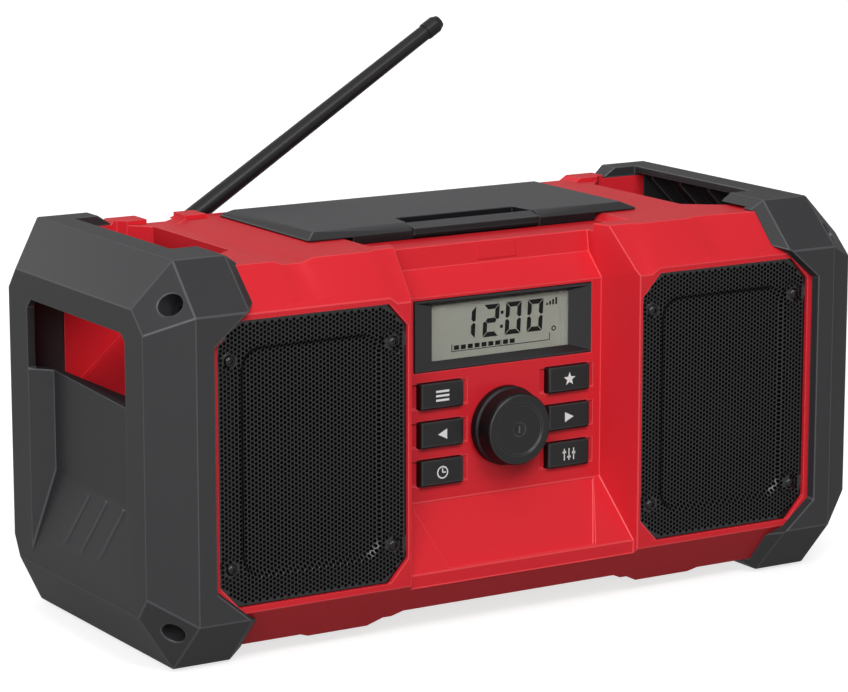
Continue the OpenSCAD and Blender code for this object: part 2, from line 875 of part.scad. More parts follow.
grille_w = body_end - grille_end - grille_x0;
grille_z0 = lip_z + grille_edge;
grille_h = body_top - shoulder_y - grille_edge - grille_z0;
cone_r = grille_w / 2 - cone_margin;
magnet_r = cone_r - magnet_margin;
grille_x = grille_x0 + grille_w / 2;
speaker_z = grille_z0 + grille_h / 2;
grille_y = face_y + grille_set_back;
baffle_y = face_y + wall;

module front_housing() color(red) standing() {
  difference() {
    intersection() {
      housing_form(0);
      block(-far, far, -half_d, split_y, 0, cap_h);
    }
    housing_cavity();
    centre_recess(0);
    shoulder_sinks(0);
    hand_scoop(0);
    at_lid() {
      lid_notch(0);
      latch_slot(0);
      hinge_pockets(0);
      storage_opening(0, collar_z - over);
    }
    screw_bores();
    both_sides()
      through(face_y - over, baffle_y + over)
        grille_outline(fit, fit);
    // display, buttons and knob
    wide(display_half_w, panel_y - over, panel_y + wall + over, display_z0, display_z0 + display_h);
    for (s = [-1, 1])
      for (z = button_rows)
        translate([s * button_x, panel_y, z]) {
          cube([button_w + 2 * fit, 4 * wall, button_h + 2 * fit], center = true);
          cube([button_w + 7, 2.2, button_h - 1], center = true);
        }
    rod_y(0, panel_y - over, panel_y + wall + over, knob_z, 4.5);
    // bare trapezoid on the lower slope
    low_slope_field();
  }
}

// Field in the lower slope that stands steeper than the slope, so it sinks towards the lip
low_field_w = [54, 43];
low_field_t = 1.8;
module low_slope_field() {
  rise = panel_z0 - lip_z - 4.4;
  run_y = panel_y - low_face_y;
  len = norm([rise, run_y]);
  translate([0, panel_y, panel_z0])
    rotate([atan2(rise, run_y) + asin(low_field_t / len), 0, 0])
      translate([0, 0, -0.2])
        linear_extrude(2 * low_field_t)
          polygon([
            [-low_field_w[1], 1.5 - len], [-low_field_w[0], -0.6],
            [low_field_w[0], -0.6], [low_field_w[1], 1.5 - len]
          ]);
}

module rear_housing() color(red) standing() {
  difference() {
    union() {
      intersection() {
        housing_form(0);
        block(-far, far, split_y, half_d, 0, cap_h);
      }
      rear_humps();
    }
    housing_cavity();
    shoulder_sinks(0);
    hand_scoop(0);
    at_lid()
      hinge_pockets(0);
    screw_bores();
    // battery door and its hinge
    wide(door_half_w + gap, back_y - wall - over, back_y + over, door_hinge_z - 2.5, door_z1 + gap);
    // mains inlet and antenna
    block(inlet_x - inlet_w / 2 - fit, inlet_x + inlet_w / 2 + fit, back_y - wall - over, back_y + over,
      inlet_z - inlet_h / 2 - fit, inlet_z + inlet_h / 2 + fit);
    rod_y(-antenna_x, ledge_y - wall - over, ledge_y + over, antenna_z, antenna_pin_r + run);
  }
  at_lid()
    hinge_knuckles();
  door_knuckles(-1);
  locating_lips();
}

// Lips on the rear housing that reach inside the front housing
lip_reach = 3.5;
lip_t = 1.6;
module locating_lips() {
  top_z = body_top - wall - fit;
  low_z = body_z0 + wall + fit;
  top_half = hinge_x - hinge_half - 2 * wall;
  x0 = step_x + wall + 1;
  x1 = outer_step_x - wall - 2;
  at_lid() {
    wide(top_half, split_y - lip_reach, split_y + lip_reach, top_z - lip_t, top_z);
    wide(top_half, split_y, split_y + lip_reach, top_z - lip_t, body_top - over);
  }
  both_sides() {
    block(x0, x1, split_y - lip_reach, split_y + lip_reach, low_z, low_z + lip_t);
    block(x0, x1, split_y, split_y + lip_reach, body_z0 + over, low_z + lip_t);
  }
}

module housing_screws() color(steel) standing()
  both_sides()
    for (p = housing_screw_places) {
      rod_y(p[0], split_y - 15, back_y - 4, p[1], housing_screw_r);
      difference() {
        rod_y(p[0], back_y - 4, back_y - 1.6, p[1], 3.5);
        translate([p[0], back_y - 2.6, p[1]])
          rotate([-90, 0, 0])
            cylinder(h = 2, r = 1.6, $fn = 6);
      }
    }

// ---- speakers ----

module baffle(side) standing()
  difference() {
    on_side(side)
      difference() {
        through(baffle_y, basket_y)
          grille_outline(-1, baffle_lap);
        through(baffle_y - over, baffle_y + dish_depth + 0.5)
          polygon(cut_rectangle(
            grille_x0 + dish_margin - 6, grille_x0 + grille_w - dish_margin + 6,
            grille_z0 + dish_margin - 6, grille_z0 + grille_h - dish_margin + 6, 9, 9));
        rod_y(grille_x, baffle_y - over, basket_y + over, speaker_z, cone_r);
        grille_screw_bores(grille_screw_r);
      }
    shoulder_sinks(wall + fit);
  }

module left_baffle() color(black) baffle(-1);
module right_baffle() color(black) baffle(1);

grille_screw_inset = 7;
grille_screw_z = 18.5;
grille_screw_r = 1.6;
grille_screws = [for (x = [grille_x0 + grille_screw_inset, grille_x0 + grille_w - grille_screw_inset])
  for (z = [grille_z0 + grille_screw_z, grille_z0 + grille_h - grille_screw_z]) [x, z]];

module grille_screw_bores(r)
  for (p = grille_screws)
    rod_y(p[0], grille_y - over, basket_y - over, p[1], r);

// Outline of the pressed middle at a given distance from the grille's edge
dish_corner_r = 12;

module dish_slab(margin, y)
  through(y, y + 0.1)
    translate([grille_x, speaker_z])
      offset(r = dish_corner_r, $fn = 32)
        square([grille_w, grille_h] - 2 * (margin + dish_corner_r) * [1, 1], center = true);

module grille(side) standing() on_side(side)
  difference() {
    union() {
      through(grille_y, grille_y + grille_t)
        grille_outline(0, 0);
      hull() {
        dish_slab(dish_margin - 4, grille_y + grille_t - 0.1);
        dish_slab(dish_margin, grille_y + grille_t + dish_depth - 0.1);
      }
    }
    hull() {
      dish_slab(dish_margin - 4 + grille_t / 2, grille_y - 0.1);
      dish_slab(dish_margin + grille_t / 2, grille_y + dish_depth - 0.1);
    }
    grille_screw_bores(grille_screw_r + fit);
  }

module left_grille() color(black) grille(-1);
module right_grille() color(black) grille(1);

module grille_screw_set(side) standing() on_side(side)
  for (p = grille_screws) {
    rod_y(p[0], grille_y, baffle_y + 5, p[1], grille_screw_r);
    difference() {
      translate([p[0], grille_y + 1.6, p[1]])
        sphere(r = 3.4, $fn = 32);
      rod_y(p[0], grille_y, grille_y + 8, p[1], 5);
      translate([p[0], grille_y - 2.5, p[1]])
        rotate([-90, 0, 0])
          cylinder(h = 1.7, r = 1.3, $fn = 6);
    }
  }

module left_grille_screws() color(steel) grille_screw_set(-1);
module right_grille_screws() color(steel) grille_screw_set(1);

baffle_t = 8;
baffle_lap = 1.6;
basket_y = baffle_y + baffle_t;
basket_len = 26;
magnet_t = 16;

module speaker_basket(side) standing() on_side(side)
  difference() {
    spin_y(grille_x, speaker_z)
      polygon([
        [cone_r - 3, basket_y], [cone_r + 5, basket_y], [cone_r + 5, basket_y + 2],
        [cone_r, basket_y + 2], [magnet_r - 6, basket_y + basket_len],
        [8, basket_y + basket_len], [8, basket_y + basket_len - 2],
        [magnet_r - 7.5, basket_y + basket_len - 2], [cone_r - 3, basket_y + 2]
      ]);
    for (a = [0 : 90 : 270])
      translate([grille_x, 0, speaker_z])
        rotate([0, a, 0])
          block(10, cone_r - 1, basket_y + 5, basket_y + basket_len - 5, -9, 9);
  }

module left_speaker_basket() color(black) speaker_basket(-1);
module right_speaker_basket() color(black) speaker_basket(1);

// Cone, half-round surround and dust cap in one revolved skin
module speaker_cone(side) standing() on_side(side) {
  roll_r = (cone_r - 4) * 0.09;
  roll_mid = cone_r - 5 - roll_r;
  spin_y(grille_x, speaker_z)
    union() {
      difference() {
        translate([roll_mid, basket_y - 0.6])
          circle(r = roll_r);
        translate([roll_mid, basket_y - 0.6])
          circle(r = roll_r - 0.8);
        translate([0, basket_y - 0.6])
          square([cone_r, 10]);
      }
      translate([roll_mid + roll_r - 0.8, basket_y - 0.6])
        square([cone_r - roll_mid - roll_r, 0.6]);
      polygon([
        [roll_mid - roll_r + 0.8, basket_y - 0.6], [roll_mid - roll_r, basket_y - 0.6],
        [12, basket_y + 14], [0, basket_y + 9], [0, basket_y + 10], [12, basket_y + 15.2]
      ]);
    }
}

module left_speaker_cone() color(rubber) speaker_cone(-1);
module right_speaker_cone() color(rubber) speaker_cone(1);

module speaker_magnet(side) standing() on_side(side) {
  y = basket_y + basket_len;
  rod_y(grille_x, y, y + 2.5, speaker_z, magnet_r - 4);
  rod_y(grille_x, y + 2.5, y + 2.5 + magnet_t, speaker_z, magnet_r);
  rod_y(grille_x, y + 2.5 + magnet_t, y + 5 + magnet_t, speaker_z, magnet_r - 4);
}

module left_speaker_magnet() color("#4a4b4e") speaker_magnet(-1);
module right_speaker_magnet() color("#4a4b4e") speaker_magnet(1);

// ---- display ----

glass_half_w = display_half_w - 12.5;
glass_z0 = display_z0 + 4.7;
glass_z1 = display_z0 + display_h - 3.7;
glass_t = 1.2;
bezel_y = panel_y - 0.5;
glass_y = bezel_y + 3.4;
bezel_back_y = glass_y + glass_t;

module display_bezel() color(black) standing()
  difference() {
    union() {
      wide(display_half_w - fit, bezel_y, bezel_back_y,
        display_z0 + fit, display_z0 + display_h - fit);
      wide(display_half_w + 2.5, panel_y + wall, bezel_back_y,
        display_z0 - 2.5, display_z0 + display_h - fit);
    }
    hull() {
      wide(display_half_w - 1.4, bezel_y - 0.1, bezel_y,
        display_z0 + 1.4, display_z0 + display_h - 1.4);
      wide(glass_half_w, glass_y, glass_y + 0.1, glass_z0, glass_z1);
    }
    wide(glass_half_w + 1.2, glass_y, bezel_back_y + over, glass_z0 - 1.2, glass_z1 + 1.2);
  }

module display_window() color("#8f928a") standing()
  wide(glass_half_w + 1, glass_y, glass_y + glass_t, glass_z0 - 1, glass_z1 + 1);

module display_module() color("#9a9d94") standing() {
  wide(glass_half_w + 3.5, bezel_back_y, bezel_back_y + 4, glass_z0 - 3.2, glass_z1 + 2);
  for (x = [-glass_half_w, glass_half_w - 2])
    block(x, x + 2, bezel_back_y + 4, board_y, glass_z0, glass_z1);
}

// ---- buttons and knob ----

switch_gap = button_travel + 0.3;
flange_y = panel_y + wall + gap;
stem_y = flange_y + 1 + 3.4;

module button(side, row) color(black) standing()
  translate([side * button_x, 0, button_rows[row]]) {
    w = button_w / 2;
    h = button_h / 2;
    y = panel_y - button_proud;
    difference() {
      wide(w, y, flange_y, -h, h);
      // bevel along the upper edge and a small one below
      translate([0, y, h])
        rotate([-56, 0, 0])
          wide(w + over, -4, 0, -3, 4);
      translate([0, y, -h])
        rotate([45, 0, 0])
          wide(w + over, -1.5, 0.6, -1, 1);
    }
    wide(w + 1, flange_y, flange_y + 1, -h - 1, h + 1);
    rod_y(0, flange_y + 1, stem_y, 0, 2.2);
  }

module mode_button() button(-1, 0);
module seek_down_button() button(-1, 1);
module clock_button() button(-1, 2);
module preset_button() button(1, 0);
module seek_up_button() button(1, 1);
module equaliser_button() button(1, 2);

board_t = 1.6;

module control_board() color(board_green) standing()
  difference() {
    union() {
      wide(panel_half_w - 1, board_y, board_y + board_t,
        panel_z0 + 2, display_z0 + display_h - 3);
      for (s = [-1, 1])
        for (z = button_rows) {
          block(s * button_x - 3, s * button_x + 3, board_y - 3, board_y, z - 3, z + 3);
          rod_y(s * button_x, stem_y + switch_gap, board_y, z, 1.8);
        }
    }
    for (p = board_posts)
      rod_y(p[0], board_y - over, board_y + board_t + over, p[1], 1.3);
  }

shaft_r = 3;
shaft_end_y = board_y - 7.6;
plunger_r = 1.5;
knob_back_y = panel_y - knob_travel - 0.5;
knob_front_y = knob_back_y - knob_len;

module encoder_body() color("#8d9094") standing()
  difference() {
    union() {
      wide(6.5, board_y - 6.5, board_y, knob_z - 6.5, knob_z + 6.5);
      rod_y(0, panel_y - 0.2, board_y - 6.5, knob_z, shaft_r + 1);
    }
    rod_y(0, panel_y - over, shaft_end_y + knob_travel + 0.5, knob_z, shaft_r + run);
    rod_y(0, shaft_end_y, board_y - 0.6, knob_z, plunger_r + run);
  }

module encoder_plunger() color(steel) standing()
  rod_y(0, shaft_end_y + 0.02, board_y - 0.6 - knob_travel - gap, knob_z, plunger_r);

module shaft_form(r, y0)
  difference() {
    rod_y(0, y0, shaft_end_y, knob_z, r);
    wide(r, y0 - over, knob_back_y - 1, knob_z + r - 1.5, knob_z + r + over);
  }

module encoder_shaft() color(steel) standing()
  shaft_form(shaft_r, knob_front_y + 5);

module knob() color(black) standing()
  difference() {
    spin_y(0, knob_z)
      difference() {
        polygon([
          [0, knob_front_y + 1.1], [knob_r * 0.62, knob_front_y + 1.1],
          [knob_r * 0.66, knob_front_y + 0.2], [knob_r * 0.78, knob_front_y],
          [knob_r * 0.87, knob_front_y + 0.7], [knob_r * 0.91, knob_front_y + 2.2],
          [knob_r * 0.94, knob_back_y - 5], [knob_r * 0.985, knob_back_y - 4],
          [knob_r, knob_back_y - 2.6], [knob_r, knob_back_y], [0, knob_back_y]
        ]);
        polygon([
          [6, knob_front_y + 4], [knob_r - 4.5, knob_front_y + 4],
          [knob_r - 2.5, knob_back_y + over], [6, knob_back_y + over]
        ]);
      }
    // D-shaped bore for the shaft
    difference() {
      rod_y(0, knob_front_y + 5 - fit, knob_back_y + over, knob_z, shaft_r + run);
      wide(shaft_r + over, knob_front_y, knob_back_y - 1,
        knob_z + shaft_r - 1.5 + run, knob_z + shaft_r + over);
    }
    // raised power mark stands in a shallow ring
    rod_y(0, knob_front_y, knob_front_y + 1.35, knob_z, 3.6);
  }

// ---- boards and supply ----

main_board_w = 124;
main_board_d = 92;
main_board_y = -44;
main_board_z = body_z0 + 14;
// Each capacitor's place, radius and height
capacitors = [[-40, -20, 6, 12], [-20, -26, 5, 10], [0, -22, 5, 10], [-44, 20, 4, 9]];
heat_sink_x = 20;
heat_sink_y = [-30, 10];
fin_pitch = 5;

module main_board() color(board_green) standing() {
  difference() {
    wide(main_board_w / 2, main_board_y, main_board_y + main_board_d,
      main_board_z, main_board_z + board_t);
    for (x = [-1, 1])
      for (y = [main_board_y + 6, main_board_y + main_board_d - 6])
        translate([x * (main_board_w / 2 - 6), y, main_board_z - over])
          cylinder(h = board_t + 2 * over, r = 1.4);
  }
  for (p = capacitors)
    translate([p[0], p[1], main_board_z + board_t])
      cylinder(h = p[3], r = p[2]);
  // finned heat sink of the amplifier
  for (i = [0 : 5])
    block(heat_sink_x + i * fin_pitch, heat_sink_x + i * fin_pitch + 2, heat_sink_y[0], heat_sink_y[1],
      main_board_z + board_t, main_board_z + 14);
  block(heat_sink_x, heat_sink_x + 5 * fin_pitch + 2, heat_sink_y[0], heat_sink_y[1],
    main_board_z + board_t, main_board_z + 4);
}

inlet_x = body_end - 48;
supply_z = body_z0 + outer_step_rise + wall;
supply_w = 56;
supply_d = 32;
supply_h = 44;
supply_y = split_y - 36;

// Closed case with a narrower step on both faces and two feet that are screwed down
module power_supply() color("#5b5d60") standing() {
  w = supply_w / 2;
  d = supply_d / 2;
  translate([inlet_x, supply_y, supply_z]) {
    wide(w, -d, d, 0, supply_h);
    wide(w - 10, -d - 6, d + 6, 8, supply_h - 8);
    wide(w + 6, -d / 2, d / 2, 0, 2);
  }
}

inlet_z = 52;
inlet_w = 21;
inlet_h = 13;

module mains_inlet() color(rubber) standing() {
  difference() {
    union() {
      block(inlet_x - inlet_w / 2, inlet_x + inlet_w / 2, back_y - 18, back_y,
        inlet_z - inlet_h / 2, inlet_z + inlet_h / 2);
      block(inlet_x - inlet_w / 2 - 2, inlet_x + inlet_w / 2 + 2, back_y, back_y + 1.5,
        inlet_z - inlet_h / 2 - 2, inlet_z + inlet_h / 2 + 2);
    }
    for (s = [-1, 1])
      rod_y(inlet_x + s * 3.6, back_y - 13, back_y + 3, inlet_z, 4.2);
    block(inlet_x - 3.6, inlet_x + 3.6, back_y - 13, back_y + 3, inlet_z - 2.6, inlet_z + 2.6);
  }
  for (s = [-1, 1])
    rod_y(inlet_x + s * 4.3, back_y - 14, back_y - 3, inlet_z, 1.2);
}

// ---- storage tub under the lid ----

tub_wall = 2.5;
tub_top_z = notch_z - 0.5;
tub_floor_z = tub_top_z - tub_depth - tub_wall;

module storage_tub() color(black) standing() at_lid()
  difference() {
    union() {
      wide(tub_half_w - gap, tub_y0 + gap, tub_y1 - gap, tub_floor_z, tub_top_z);
      wide(tub_half_w + wall, tub_y0 - wall, tub_y1 + wall, collar_z - 2, collar_z);
    }
    wide(tub_half_w - gap - tub_wall, tub_y0 + gap + tub_wall,
      tub_y1 - gap - tub_wall, tub_floor_z + tub_wall, cap_h);
    latch_slot(wall + fit);
    // sockets in the left wall
    block(-tub_half_w - over, -tub_half_w + tub_wall + over, usb_y - 7.2, usb_y + 7.2,
      socket_z - 4.2, socket_z + 4.2);
    translate([-tub_half_w - over, audio_y, socket_z])
      rotate([0, 90, 0])
        cylinder(h = tub_wall + 2 * over, r = 5.1);
  }

usb_y = (tub_y0 + tub_y1) / 2 + 8;
audio_y = usb_y - 20;
socket_z = tub_floor_z + 19;

module usb_socket() color(steel) standing() at_lid() {
  x1 = -tub_half_w + gap + tub_wall;
  difference() {
    union() {
      block(x1 - 15, x1, usb_y - 7, usb_y + 7, socket_z - 4, socket_z + 4);
      block(x1, x1 + 1, usb_y - 9, usb_y + 9, socket_z - 6, socket_z + 6);
    }
    block(x1 - 12, x1 + 2, usb_y - 6.2, usb_y + 6.2, socket_z - 2.6, socket_z + 2.6);
  }
  block(x1 - 13, x1 - 1, usb_y - 5.6, usb_y + 5.6, socket_z + 0.2, socket_z + 2);
}

module audio_socket() color(rubber) standing() at_lid() {
  x1 = -tub_half_w + gap + tub_wall;
  difference() {
    union() {
      rod_x(x1 - 14, x1, audio_y, socket_z, 5);
      rod_x(x1, x1 + 1, audio_y, socket_z, 6.5);
    }
    rod_x(x1 - 12, x1 + 2, audio_y, socket_z, 2.2);
  }
}

// ---- lid ----

hinge_y = lid_y1 + 4;
knuckle_r = 3;
hinge_z = body_top + 1.5 - knuckle_r;
hinge_x = 55;
hinge_half = 20;
knuckle_half = 12;
hinge_pin_r = 1.5;
hinge_floor_z = hinge_z - knuckle_r - 0.6;
hinge_room_y = hinge_y + knuckle_r + 1.2;
lid_lip_z = body_top + gap;
lid_top_z = body_top + lid_rise;

// Closed pockets in the top face for the hinges
module hinge_pockets(grow)
  both_sides()
    block(hinge_x - hinge_half - fit - grow, hinge_x + hinge_half + fit + grow, lid_y1 - 0.4 - grow,
      hinge_room_y + grow, hinge_floor_z - grow, cap_h);

// Fixed knuckles at both ends of each hinge, on blocks that stand in the pocket
module hinge_knuckles()
  both_sides()
    for (e = [[hinge_x - hinge_half, hinge_x - knuckle_half - gap],
         [hinge_x + knuckle_half + gap, hinge_x + hinge_half]])
      difference() {
        union() {
          rod_x(e[0], e[1], hinge_y, hinge_z, knuckle_r);
          block(e[0], e[1], split_y, hinge_room_y + over, hinge_floor_z - over, hinge_z);
        }
        rod_x(e[0] - over, e[1] + over, hinge_y, hinge_z, hinge_pin_r);
      }

// Lid form: an upright lip and a shallow bevel up to a flat top
module lid_form() {
  hull() {
    wide(lid_half_w, lid_y0, lid_y1, lid_lip_z, lid_lip_z + 1);
    wide(lid_half_w - lid_bevel, lid_y0 + lid_bevel, lid_y1 - lid_bevel + 1,
      lid_top_z - 0.1, lid_top_z);
  }
}

latch_pin_y = lid_y0 + 1.4;
latch_pin_z = body_top - 1.3;
latch_pin_r = 0.8;
finger_y0 = lid_y0 + 7.8;
finger_y1 = lid_y0 + 21.9;

module lid() color(black) standing() at_lid() {
  rim_x = tub_half_w - gap - tub_wall - 0.5;
  rim_y0 = tub_y0 + gap + tub_wall + 0.5;
  rim_y1 = tub_y1 - gap - tub_wall - 0.5;
  difference() {
    union() {
      lid_form();
      // rim that enters the tub
      difference() {
        wide(rim_x, rim_y0, rim_y1, body_top - 5, lid_lip_z + over);
        wide(rim_x - 2, rim_y0 + 2, rim_y1 - 2, body_top - 6, lid_lip_z);
      }
      // ring that carries the seal
      difference() {
        seal_block(0, seal_top_z, lid_lip_z + over);
        wide(rim_x - 2, rim_y0 + 2, rim_y1 - 2, 0, lid_lip_z);
      }
      // skirt above the notch, with cheeks for the latch pin
      wide(notch_half_w - 1.5, lid_y0, lid_y0 + 3, notch_z + gap, lid_lip_z + over);
      // floor of the finger recess
      wide(latch_half_w + 4, finger_y0 - 1, finger_y1 + 3, lid_top_z - 6, lid_top_z - 1);
      // hinge arms and knuckles
      both_sides() {
        across(hinge_x - knuckle_half, hinge_x + knuckle_half)
          polygon([
            [lid_y1 - 3, lid_lip_z], [lid_y1 - 3, lid_lip_z + 2], [hinge_y, lid_lip_z + 1.2],
            [hinge_y, hinge_z], [lid_y1 + gap, hinge_z + 0.8], [lid_y1 + gap, lid_lip_z]
          ]);
        rod_x(hinge_x - knuckle_half, hinge_x + knuckle_half, hinge_y, hinge_z, knuckle_r);
      }
    }
    // hollow between the rim and the edge, and inside the rim
    wide(rim_x - 2, finger_y1 + 5, rim_y1 - 2, body_top - 6, lid_top_z - 2.4);
    both_sides()
      block(latch_half_w + 6, rim_x - 2, rim_y0 + 2, finger_y1 + 3, body_top - 6, lid_top_z - 2.4);
    // finger recess with slanted ends
    upward(lid_top_z - 4, cap_h)
      polygon([[-latch_half_w, finger_y0 - 2], [latch_half_w, finger_y0 - 2],
        [latch_half_w - 2, finger_y1], [-latch_half_w + 2, finger_y1]]);
    // room for the latch
    wide(latch_half_w + gap, lid_y0 - over, finger_y0 + gap, 0, cap_h);
    axle(latch_half_w + 3, latch_pin_y, latch_pin_z, latch_pin_r);
    both_sides()
      rod_x(hinge_x - hinge_half, hinge_x + hinge_half, hinge_y, hinge_z, hinge_pin_r + run);
  }
}

seal_top_z = notch_z + 1.3;

module seal_block(grow, z0, z1)
  wide(tub_half_w - gap - 0.2 + grow, tub_y0 + gap + 0.2 - grow,
    tub_y1 - gap - 0.2 + grow, z0, z1);

module lid_seal() color(rubber) standing() at_lid()
  difference() {
    seal_block(0, tub_top_z + gap, seal_top_z);
    seal_block(-tub_wall - 0.1, 0, cap_h);
  }

module lid_hinge_pins() color(steel) standing() at_lid()
  both_sides()
    rod_x(hinge_x - hinge_half, hinge_x + hinge_half, hinge_y, hinge_z, hinge_pin_r);

module lid_latch() color(black) standing() at_lid()
  difference() {
    union() {
      across(-latch_half_w, latch_half_w)
        polygon([
          [lid_y0 - 0.3, body_top - 2.4], [lid_y0 - 0.3, lid_lip_z + 1.5],
          [finger_y0, lid_top_z - 0.3], [finger_y0, lid_top_z - 1.9], [lid_y0 + 4, lid_lip_z + 0.8],
          [lid_y0 + 3.4, latch_pin_z], [lid_y0 + 2.6, body_top - 2.8]
        ]);
      axle(latch_half_w, latch_pin_y, latch_pin_z, 1.9);
      // hook that drops behind the edge of the notch
      across(-latch_half_w + 12, latch_half_w - 12)
        polygon([
          [latch_pin_y, body_top - 2.4], [latch_pin_y + 2, body_top - 2],
          [latch_pin_y + 2.2, body_top - 6], [latch_pin_y - 0.2, body_top - 6]
        ]);
    }
    axle(latch_half_w + over, latch_pin_y, latch_pin_z, latch_pin_r + run);
  }

module lid_latch_pin() color(steel) standing() at_lid()
  axle(latch_half_w + 3, latch_pin_y, latch_pin_z, latch_pin_r);

// ---- battery bay ----

door_y1 = back_y + 0.6;
door_y0 = door_y1 - door_t;
door_hinge_y = back_y - 0.5;
door_knuckle_r = 2.1;
door_hinge_z = door_z0 - door_knuckle_r - gap;
door_pin_r = 1;
door_knuckle_x = [12, 40];
bay_half_w = door_half_w - 2.5;
bay_z0 = door_z0 + 3;
bay_z1 = door_z1 - 7;
bay_y1 = back_y - wall;
bay_wall = 2;

// Knuckles alternate along the hinge: the door's on the outside (1), the housing's between (-1)
module door_knuckles(which) {
  spans = which > 0
    ? [door_knuckle_x]
    : [[0, door_knuckle_x[0] - gap], [door_knuckle_x[1] + gap, door_knuckle_x[1] + 12]];
  both_sides()
    for (e = spans)
      difference() {
        union() {
          rod_x(e[0], e[1], door_hinge_y, door_hinge_z, door_knuckle_r);
          if (which > 0)
            block(e[0], e[1], door_y0, door_hinge_y + door_knuckle_r, door_hinge_z,
              door_z0 + over);
          else
            block(e[0], e[1], bay_y1, door_hinge_y + 1, door_hinge_z - 3, door_hinge_z);
        }
        rod_x(-over, far / 4, door_hinge_y, door_hinge_z, door_pin_r + (which > 0 ? run : 0));
      }
}

door_latch_half = 14;
door_latch_z = door_z1 - 5;

module battery_door() color(black) standing() {
  difference() {
    union() {
      wide(door_half_w, door_y0, door_y1, door_z0, door_z1);
      // upright grip ribs
      for (i = [-4 : 4])
        block(i * 11 - 1.5, i * 11 + 1.5, door_y1 - over, door_y1 + 1, door_z0 + 12, door_z1 - 30);
    }
    wide(door_latch_half + gap, door_y0 + 1, door_y1 + over,
      door_latch_z - 12, door_z1 + over);
    wide(door_latch_half + gap, door_y0 - over, door_y1 + over,
      door_latch_z - 2.2, door_z1 + over);
    // shallow recess for the fingers below the latch
    across(-door_latch_half - 4, door_latch_half + 4)
      polygon([
        [door_y1 + over, door_latch_z - 8], [door_y1 + over, door_latch_z - 22],
        [door_y1 - 2, door_latch_z - 12]
      ]);
    axle(door_latch_half + 4, door_y0 + 1.5, door_latch_z, door_pin_r);
  }
  door_knuckles(1);
}

module battery_door_pin() color(steel) standing()
  axle(door_knuckle_x[1] + 12, door_hinge_y, door_hinge_z, door_pin_r);

module battery_door_latch() color(rubber) standing()
  difference() {
    union() {
      wide(door_latch_half, door_y0 + 1.5, door_y1 + 0.4, door_latch_z - 11, door_latch_z + 1);
      axle(door_latch_half, door_y0 + 1.5, door_latch_z, 1.9);
      wide(door_latch_half, door_y0 + 1.4, door_y0 + 2.8, door_latch_z, door_z1 - 0.4);
    }
    axle(door_latch_half + over, door_y0 + 1.5, door_latch_z, door_pin_r + run);
  }

module battery_latch_pin() color(steel) standing()
  axle(door_latch_half + 4, door_y0 + 1.5, door_latch_z, door_pin_r);

module battery_bay() color(black) standing()
  difference() {
    union() {
      wide(bay_half_w + bay_wall, bay_y1 - bay_depth, bay_y1,
        bay_z0 - bay_wall, bay_z1 + bay_wall);
      wide(door_half_w + 4, bay_y1 - 2, bay_y1, door_hinge_z - 3, door_z1 + 3);
    }
    wide(bay_half_w, bay_y1 - bay_depth + bay_wall, bay_y1 + over, bay_z0, bay_z1);
  }

module battery_terminals() color("#c9a24a") standing() {
  y = bay_y1 - bay_depth + bay_wall;
  z = (bay_z0 + bay_z1) / 2;
  block_t = 3;
  pitch = 13;
  wide(1.5 * pitch, y, y + block_t, z - 12, z + 12);
  for (i = [-1 : 1])
    block(i * pitch - 0.6, i * pitch + 0.6, y + block_t, y + block_t + 10, z - 8, z + 8);
}

// ---- antenna ----

antenna_x = body_end - antenna_end;
antenna_pin_r = 2.5;
antenna_base_t = 3;
whip_y = ledge_y + antenna_base_t + gap + whip_r;
whip_way = [cos(antenna_rise), 0, sin(antenna_rise)];

module antenna_base() color(black) standing()
  difference() {
    union() {
      rod_y(-antenna_x, ledge_y, ledge_y + antenna_base_t, antenna_z, 10);
      rod_y(-antenna_x, ledge_y + 1, ledge_y + antenna_base_t - 1, antenna_z, 10.5);
    }
    rod_y(-antenna_x, ledge_y - over, ledge_y + antenna_base_t + over, antenna_z, antenna_pin_r);
  }

module antenna_pivot_screw() color(steel) standing()
  difference() {
    union() {
      rod_y(-antenna_x, ledge_y - wall - 2, whip_y + whip_r + gap, antenna_z, antenna_pin_r);
      rod_y(-antenna_x, whip_y + whip_r + gap, whip_y + whip_r + gap + 2, antenna_z, 4.6);
    }
    block(-antenna_x - 5, -antenna_x + 5, whip_y + whip_r + gap + 1, whip_y + whip_r + 4,
      antenna_z - 0.6, antenna_z + 0.6);
  }

module antenna_whip() color(rubber) standing()
  difference() {
    union() {
      rod_y(-antenna_x, whip_y - whip_r, whip_y + whip_r, antenna_z, 8);
      aim([-antenna_x, whip_y, antenna_z], whip_way) {
        cylinder(h = 30, r1 = whip_r + 0.4, r2 = whip_r);
        translate([0, 0, 30])
          cylinder(h = antenna_len - 40, r1 = whip_r, r2 = whip_tip_r);
      }
    }
    // flat cheeks at the pivot
    for (s = [-1, 1])
      translate([-antenna_x, whip_y + s * 1.5 * whip_r, antenna_z])
        cube([80, whip_r, 60], center = true);
    rod_y(-antenna_x, whip_y - whip_r - over, whip_y + whip_r + over, antenna_z, antenna_pin_r + run);
  }

module antenna_tip() color(black) standing()
  aim([-antenna_x, whip_y, antenna_z], whip_way)
    translate([0, 0, antenna_len - 10]) {
      cylinder(h = 7, r = whip_tip_r + 0.5);
      translate([0, 0, 7])
        cylinder(h = 3, r1 = whip_tip_r + 0.5, r2 = whip_tip_r - 0.8);
    }

